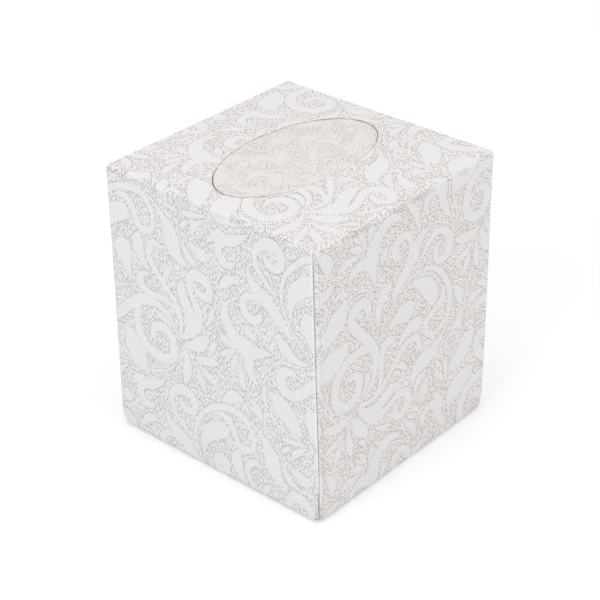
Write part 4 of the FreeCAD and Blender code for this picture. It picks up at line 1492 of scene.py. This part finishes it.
        # A fainter line of painted shade where the cloth starts round the corner.
        crease = 0.3 * max(1 - abs(run + half) / 0.3, 0.0)
        # Painted highlight along the lap's rolled fold.
        fold = smooth((run - half - form.lean + 0.45) / 0.4)
        return max(lap_shade, crease) * length, fold * length

    def stitch(self, shell: Shell, side: Side, piece: FlatWeave) -> None:
        """Folds one flat piece on to the shell.

        Args:
            shell: the mesh that the piece joins.
            side: the part of the sheet that the piece is.
            piece: the flat piece.
        """
        def shape(index: int) -> Tuple[Vector, Vector, Marks]:
            """Returns a point's place, outward direction and marks."""
            x, y = piece.points[index]
            satin = piece.satin[index]
            marks = Marks(satin, self.char(side, x, y), piece.edge[index], *self.corner_marks(side, x, y))
            return self.settled(side, x, y, self.satin_lift * satin), self.normal(side, x, y), marks
        shell.add_piece(piece, shape, True)

    def cut_edge(self, shell: Shell) -> None:
        """Adds the browned thickness of the cloth down the inside of the oval."""
        ring = self.opening.ring(0.0, self.ring_points)
        high, low = [], []
        for x, y in ring:
            place = self.settled(Side.TOP, x, y)
            inward = Vector((self.opening.x - x, self.opening.y - y, 0)).normalized()
            scorch = self.opening.scorch(x, y)
            high.append(shell.add_point(place, Vector((0, 0, 0)), Marks(char=scorch)))
            wall = Vector((0, 0, self.cut_wall + self.form.dome(x, y)))
            low.append(shell.add_point(place - wall, inward, Marks(char=0.12 + 0.88 * scorch)))
        shell.add_wall(ring, high, low)

    def hem_edge(self, shell: Shell) -> None:
        """Adds the thickness of the cloth along the hem's cut edge under the box."""
        form = self.form
        foot, depth = form.foot, form.hem_depth
        for side in ARMS:
            half = form.arm(side)[2]
            inner = half - depth
            line = self.closed(self.hem_line(half)[::-1], self.hem_spacing)
            length = 2 * math.dist((half, foot), (inner, foot + depth)) + 2 * inner
            line = line[:math.ceil(length / self.hem_spacing) + 1]
            for start, end in zip(line, line[1:]):
                if start[1] < foot + 0.5 and end[1] < foot + 0.5:
                    continue
                spots = [form.to_sheet(side, *start), form.to_sheet(side, *end)]
                low = [self.settled(side, *spot) for spot in spots]
                high = [place + Vector((0, 0, self.raw_edge)) for place in low]
                a, b = (shell.add_point(place, Vector((0, 0, 0))) for place in low)
                c, d = (shell.add_point(place, Vector((0, 0, 1))) for place in high)
                shell.add_face((a, b, d), (spots[0], spots[1], spots[1]), True)
                shell.add_face((a, d, c), (spots[0], spots[1], spots[0]), True)

    def build(self, finish: bpy.types.Material) -> bpy.types.Object:
        """Args:
            finish: the cloth's material.

        Returns:
            The cover.
        """
        shell = Shell("cloth_cover")
        self.stitch(shell, Side.TOP, self.top_piece())
        for side in ARMS:
            self.stitch(shell, side, self.arm_piece(side))
        self.cut_edge(shell)
        self.hem_edge(shell)
        cover = shell.finish()
        cover.data.materials.append(finish)
        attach(cover, "root")
        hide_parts(*self.nodes)
        return cover


@dataclass
class OvalPanel:
    """The oval of cloth-faced card that lies loose in the opening.

    Attributes:
        form: the box, whose swell the panel follows.
        opening: the oval cut.
        loom: cuts the flat piece.
        top: height of the panel's face at the top's edges.
        thickness: the panel's thickness.
        gap_ends: gap at each narrow end.
        gap_sides: gap along each long side.
        nudge: how far the panel has slid in the opening.
        ring_points: number of points round the oval.
        grid: distance between the points of its face.
        figure_shift: how far its faint figure lies from the cover's.
        crease_ends: the two ends of its soft crease.
        crease_depth: depth of the crease.
        crease_width: half the crease's width.
        warp: how uneven the face is.
        roll: how far the face drops at its rim.
    """

    form: BoxForm
    opening: Opening
    loom: Loom
    top: float = 129.25
    thickness: float = 1.4
    gap_ends: float = 0.38
    gap_sides: float = 0.1
    nudge: Point = (0.1, 0.05)
    ring_points: int = 132
    grid: float = 2.5
    figure_shift: Point = (13.0, 21.0)
    crease_ends: Tuple[Point, Point] = ((-19.0, 19.5), (32.0, 6.0))
    crease_depth: float = 0.12
    crease_width: float = 0.8
    warp: float = 0.16
    roll: float = 0.14

    @property
    def edge(self) -> Opening:
        """The panel's own oval, which has slid a little in the opening."""
        opening = self.opening
        return Opening(opening.length - 2 * self.gap_ends, opening.breadth - 2 * self.gap_sides,
                       opening.x + self.nudge[0], opening.y + self.nudge[1])

    def height(self, x: float, y: float) -> float:
        """Returns the height of the panel's face, with its soft crease and slight warp."""
        warp = self.warp * noise.noise(Vector((x * 0.05, y * 0.07, 11.3)))
        start, end = (Vector(point) for point in self.crease_ends)
        run = (end - start).normalized()
        off = (Vector((x, y)) - start).dot(Vector((-run.y, run.x)))
        along = (Vector((x, y)) - start).dot(run)
        shown = smooth(along / 8) * smooth(((end - start).length - along) / 8)
        crease = self.crease_depth * shown * math.exp(-(off / self.crease_width) ** 2)
        roll = self.roll * (1 - smooth(-self.edge.outside(x, y) / 0.8))
        return self.top + self.form.dome(x, y) + warp - crease - roll

    def build(self, finish: bpy.types.Material) -> bpy.types.Object:
        """Args:
            finish: the panel's material.

        Returns:
            The panel.
        """
        shell = Shell("loose_oval")
        bound = self.edge
        outline = bound.ring(0.0, self.ring_points)
        rings = [bound.ring(-grow, self.ring_points) for grow in (0.2, 0.45, 0.8)]
        lines = [ring + ring[:1] for ring in rings]
        spots = [(bound.x + self.grid * column, bound.y + self.grid * row)
                 for column in range(-18, 19) for row in range(-10, 11)]
        loose = [spot for spot in spots if bound.outside(*spot) < -1.5]

        def lie(x: float, y: float) -> Point:
            """Returns where the panel's own faint figure lies, which does not run on from the cover's."""
            return self.loom.pattern.lie(x + self.figure_shift[0], y + self.figure_shift[1])
        piece = self.loom.weave(outline, lines, loose, lambda x, y: bound.outside(x, y) < 0.02, lie)

        def shape(index: int) -> Tuple[Vector, Vector, Marks]:
            """Returns a point's place, outward direction and marks."""
            x, y = piece.points[index]
            level = self.height(x, y)
            slope_x = level - self.height(x + SLOPE_STEP, y)
            slope_y = level - self.height(x, y + SLOPE_STEP)
            char = 0.55 * bound.scorch(x, y) * (1 - smooth(-bound.outside(x, y) / 0.3))
            marks = Marks(piece.satin[index], char, piece.edge[index])
            return Vector((x, y, level)), Vector((slope_x, slope_y, SLOPE_STEP)).normalized(), marks
        shell.add_piece(piece, shape, False)
        self.rim(shell, outline)
        panel = shell.finish()
        panel.data.materials.append(finish)
        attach(panel, "root")
        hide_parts("oval_panel")
        return panel

    def rim(self, shell: Shell, outline: Sequence[Point]) -> None:
        """Adds the browned rim and the plain underside."""
        base = self.top - self.thickness + 0.1
        centre = shell.add_point(Vector((self.opening.x, self.opening.y, base)), Vector((0, 0, -1)))
        high, low = [], []
        for x, y in outline:
            out = Vector((x - self.opening.x, y - self.opening.y, 0)).normalized()
            scorch = self.opening.scorch(x, y)
            face = Vector((x, y, self.height(x, y)))
            high.append(shell.add_point(face, out * 0.2, Marks(char=0.8 * scorch)))
            low.append(shell.add_point(Vector((x, y, base)), out, Marks(char=0.12 + 0.88 * scorch)))
        shell.add_wall(outline, high, low)
        for start in range(len(outline)):
            end = (start + 1) % len(outline)
            one, two = outline[start], outline[end]
            shell.add_face((low[end], low[start], centre), (two, one, one), True)


@dataclass
class Inside:
    """What lies under the cloth: the carton, the film and the tissues, in their own finishes."""

    nodes: Dict[str, bpy.types.Object]
    finishes: Dict[str, bpy.types.Material]

    def dress(self) -> None:
        """Gives each node its finish."""
        for name, finish in self.finishes.items():
            self.nodes[name].data.materials.clear()
            self.nodes[name].data.materials.append(finish)
            LOG.info("dressed %s", name)


@dataclass(frozen=True)
class Studio:
    """The camera at the photograph's view, the plain floor and the soft light.

    Attributes:
        height: height of the box, in mm, by which the camera's distances are given.
        yaw: how far round from the front the camera stands.
        pitch: how far it looks down.
        roll: how far it is turned about its own axis.
        distance: how far it stands from the middle of the box, in box heights.
        shift_right: how far it is moved to its right, in box heights.
        shift_up: how far it is moved up, in box heights.
        lens: focal length, in mm.
        floor_level: the floor's height, in metres.
        floor_reach: how far the floor goes each way, in metres.
        floor_tone: how pale the floor is, as a linear grey.
        floor_glow: how much more the camera sees of the floor, so that it is white as in the photograph.
        sky: strength of the soft light from all round.
        lamp_size: width of each lamp, in metres.
        aim: the point that the lamps face, in metres.
    """

    height: float = 129.5
    yaw: float = math.radians(48.633)
    pitch: float = math.radians(30.602)
    roll: float = math.radians(-0.589)
    distance: float = 5.7615
    shift_right: float = -0.0074
    shift_up: float = -0.0317
    lens: float = 102.61
    floor_level: float = -0.0004
    floor_reach: float = 6.0
    floor_tone: float = 0.86
    floor_glow: float = 0.21
    sky: float = 0.66
    lamp_size: float = 1.2
    aim: Triple = (0.0, 0.0, 0.06)

    def camera(self) -> None:
        """Makes the camera."""
        sin, cos = math.sin, math.cos
        ahead = Vector((sin(self.yaw) * cos(self.pitch), cos(self.yaw) * cos(self.pitch), -sin(self.pitch)))
        level = Vector((cos(self.yaw), -sin(self.yaw), 0))
        above = level.cross(ahead)
        right = level * cos(self.roll) + above * sin(self.roll)
        up = above * cos(self.roll) - level * sin(self.roll)
        middle = Vector((0, 0, 0.5))
        eye = middle - ahead * self.distance + right * self.shift_right + up * self.shift_up
        camera = bpy.data.cameras.new("studio_camera")
        camera.lens = self.lens
        camera.sensor_width = 36.0
        camera.clip_start, camera.clip_end = 0.01, 20.0
        made = add_object("studio_camera", camera)
        facing = Matrix((right, up, -ahead)).transposed().to_4x4()
        made.matrix_world = Matrix.Translation(eye * self.height * MM) @ facing
        bpy.context.scene.camera = made

    def floor(self) -> None:
        """Makes the plain pale floor."""
        mesh = bpy.data.meshes.new("studio_floor")
        corners = [(self.floor_reach * x, self.floor_reach * y, self.floor_level)
                   for x, y in ((-1, -1), (1, -1), (1, 1), (-1, 1))]
        mesh.from_pydata(corners, [], [(0, 1, 2, 3)])
        made = add_object("studio_floor", mesh)
        material, sh, surface = new_material("plain_floor", 0.95)
        surface.inputs["Base Color"].default_value = (self.floor_tone, self.floor_tone, self.floor_tone, 1.0)
        surface.inputs["Specular IOR Level"].default_value = 0.0
        glow = sh.node("ShaderNodeEmission")
        sh.join(sh.math("MULTIPLY", sh.seen(), self.floor_glow), glow.inputs["Strength"])
        both = sh.node("ShaderNodeAddShader")
        sh.join(surface.outputs[0], both.inputs[0])
        sh.join(glow.outputs[0], both.inputs[1])
        sh.join(both.outputs[0], material.node_tree.nodes["Material Output"].inputs["Surface"])
        mesh.materials.append(material)
        made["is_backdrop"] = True

    def lamp(self, name: str, place: Triple, power: float, colour: Triple) -> None:
        """Adds one soft square lamp that faces the box.

        Args:
            name: the lamp's name.
            place: where it stands, in metres.
            power: its power, in watts.
            colour: its linear colour.
        """
        light = bpy.data.lights.new(name, "AREA")
        light.size = self.lamp_size
        light.energy = power
        light.color = colour
        made = add_object(name, light)
        made.location = place
        made.rotation_mode = "QUATERNION"
        made.rotation_quaternion = (Vector(self.aim) - Vector(place)).to_track_quat("-Z", "Y")

    def light(self) -> None:
        """Lights the box softly from all round, a little cooler from the left."""
        world = bpy.data.worlds.new("studio_world")
        bpy.context.scene.world = world
        world.use_nodes = True
        sh = Shader(world.node_tree)
        back = world.node_tree.nodes["Background"]
        back.inputs["Color"].default_value = (1.0, 1.0, 1.0, 1.0)
        sh.join(sh.ramp(sh.seen(), 0.0, 1.0, self.sky, 1.0, "LINEAR"), back.inputs["Strength"])
        self.lamp("lamp_left", (-1.5, 0.1, 0.9), 8.2, (0.88, 0.93, 1.0))
        self.lamp("lamp_right", (0.5, -1.6, 0.9), 7.0, (1.0, 0.98, 0.965))
        self.lamp("lamp_above", (-0.1, 0.1, 1.8), 6.2, (1.0, 0.98, 0.935))

    def build(self) -> None:
        """Makes the whole studio."""
        self.camera()
        self.floor()
        self.light()


def spread(bounds: Tuple[Vector, Vector]) -> List[List[float]]:
    """Returns a pair of corners as plain lists of numbers."""
    return [list(corner) for corner in bounds]


def main() -> None:
    """Builds the dressed box in order and reports each piece."""
    logging.basicConfig(level=logging.INFO, format="%(name)s: %(message)s")
    bpy.context.scene.view_settings.view_transform = "Standard"
    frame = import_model()
    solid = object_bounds()
    form = BoxForm()
    opening = Opening()
    loom = Loom(ScrollPattern())
    ground, satin = fleck_weave_group(), satin_weave_group()
    finish = ClothFinish((form.flat_x, form.flat_y))
    cover = ClothCover(form, opening, loom).build(finish.build(ground, satin))
    LOG.info("cover: %d triangles", len(cover.data.polygons))
    panel = OvalPanel(form, opening, loom).build(PanelFinish().build(ground))
    LOG.info("panel: %d triangles", len(panel.data.polygons))
    Inside(frame["nodes"], {
        "carton": BoardFinish().build(opening, form.top),
        "slit_film": FilmFinish().build(),
        "tissue_stack": TissueFinish().build(),
    }).dress()
    Studio().build()
    {"solid": spread(solid), "dressed": spread(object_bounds())}
    LOG.info("sizes written")


if __name__ == "__main__":
    main()
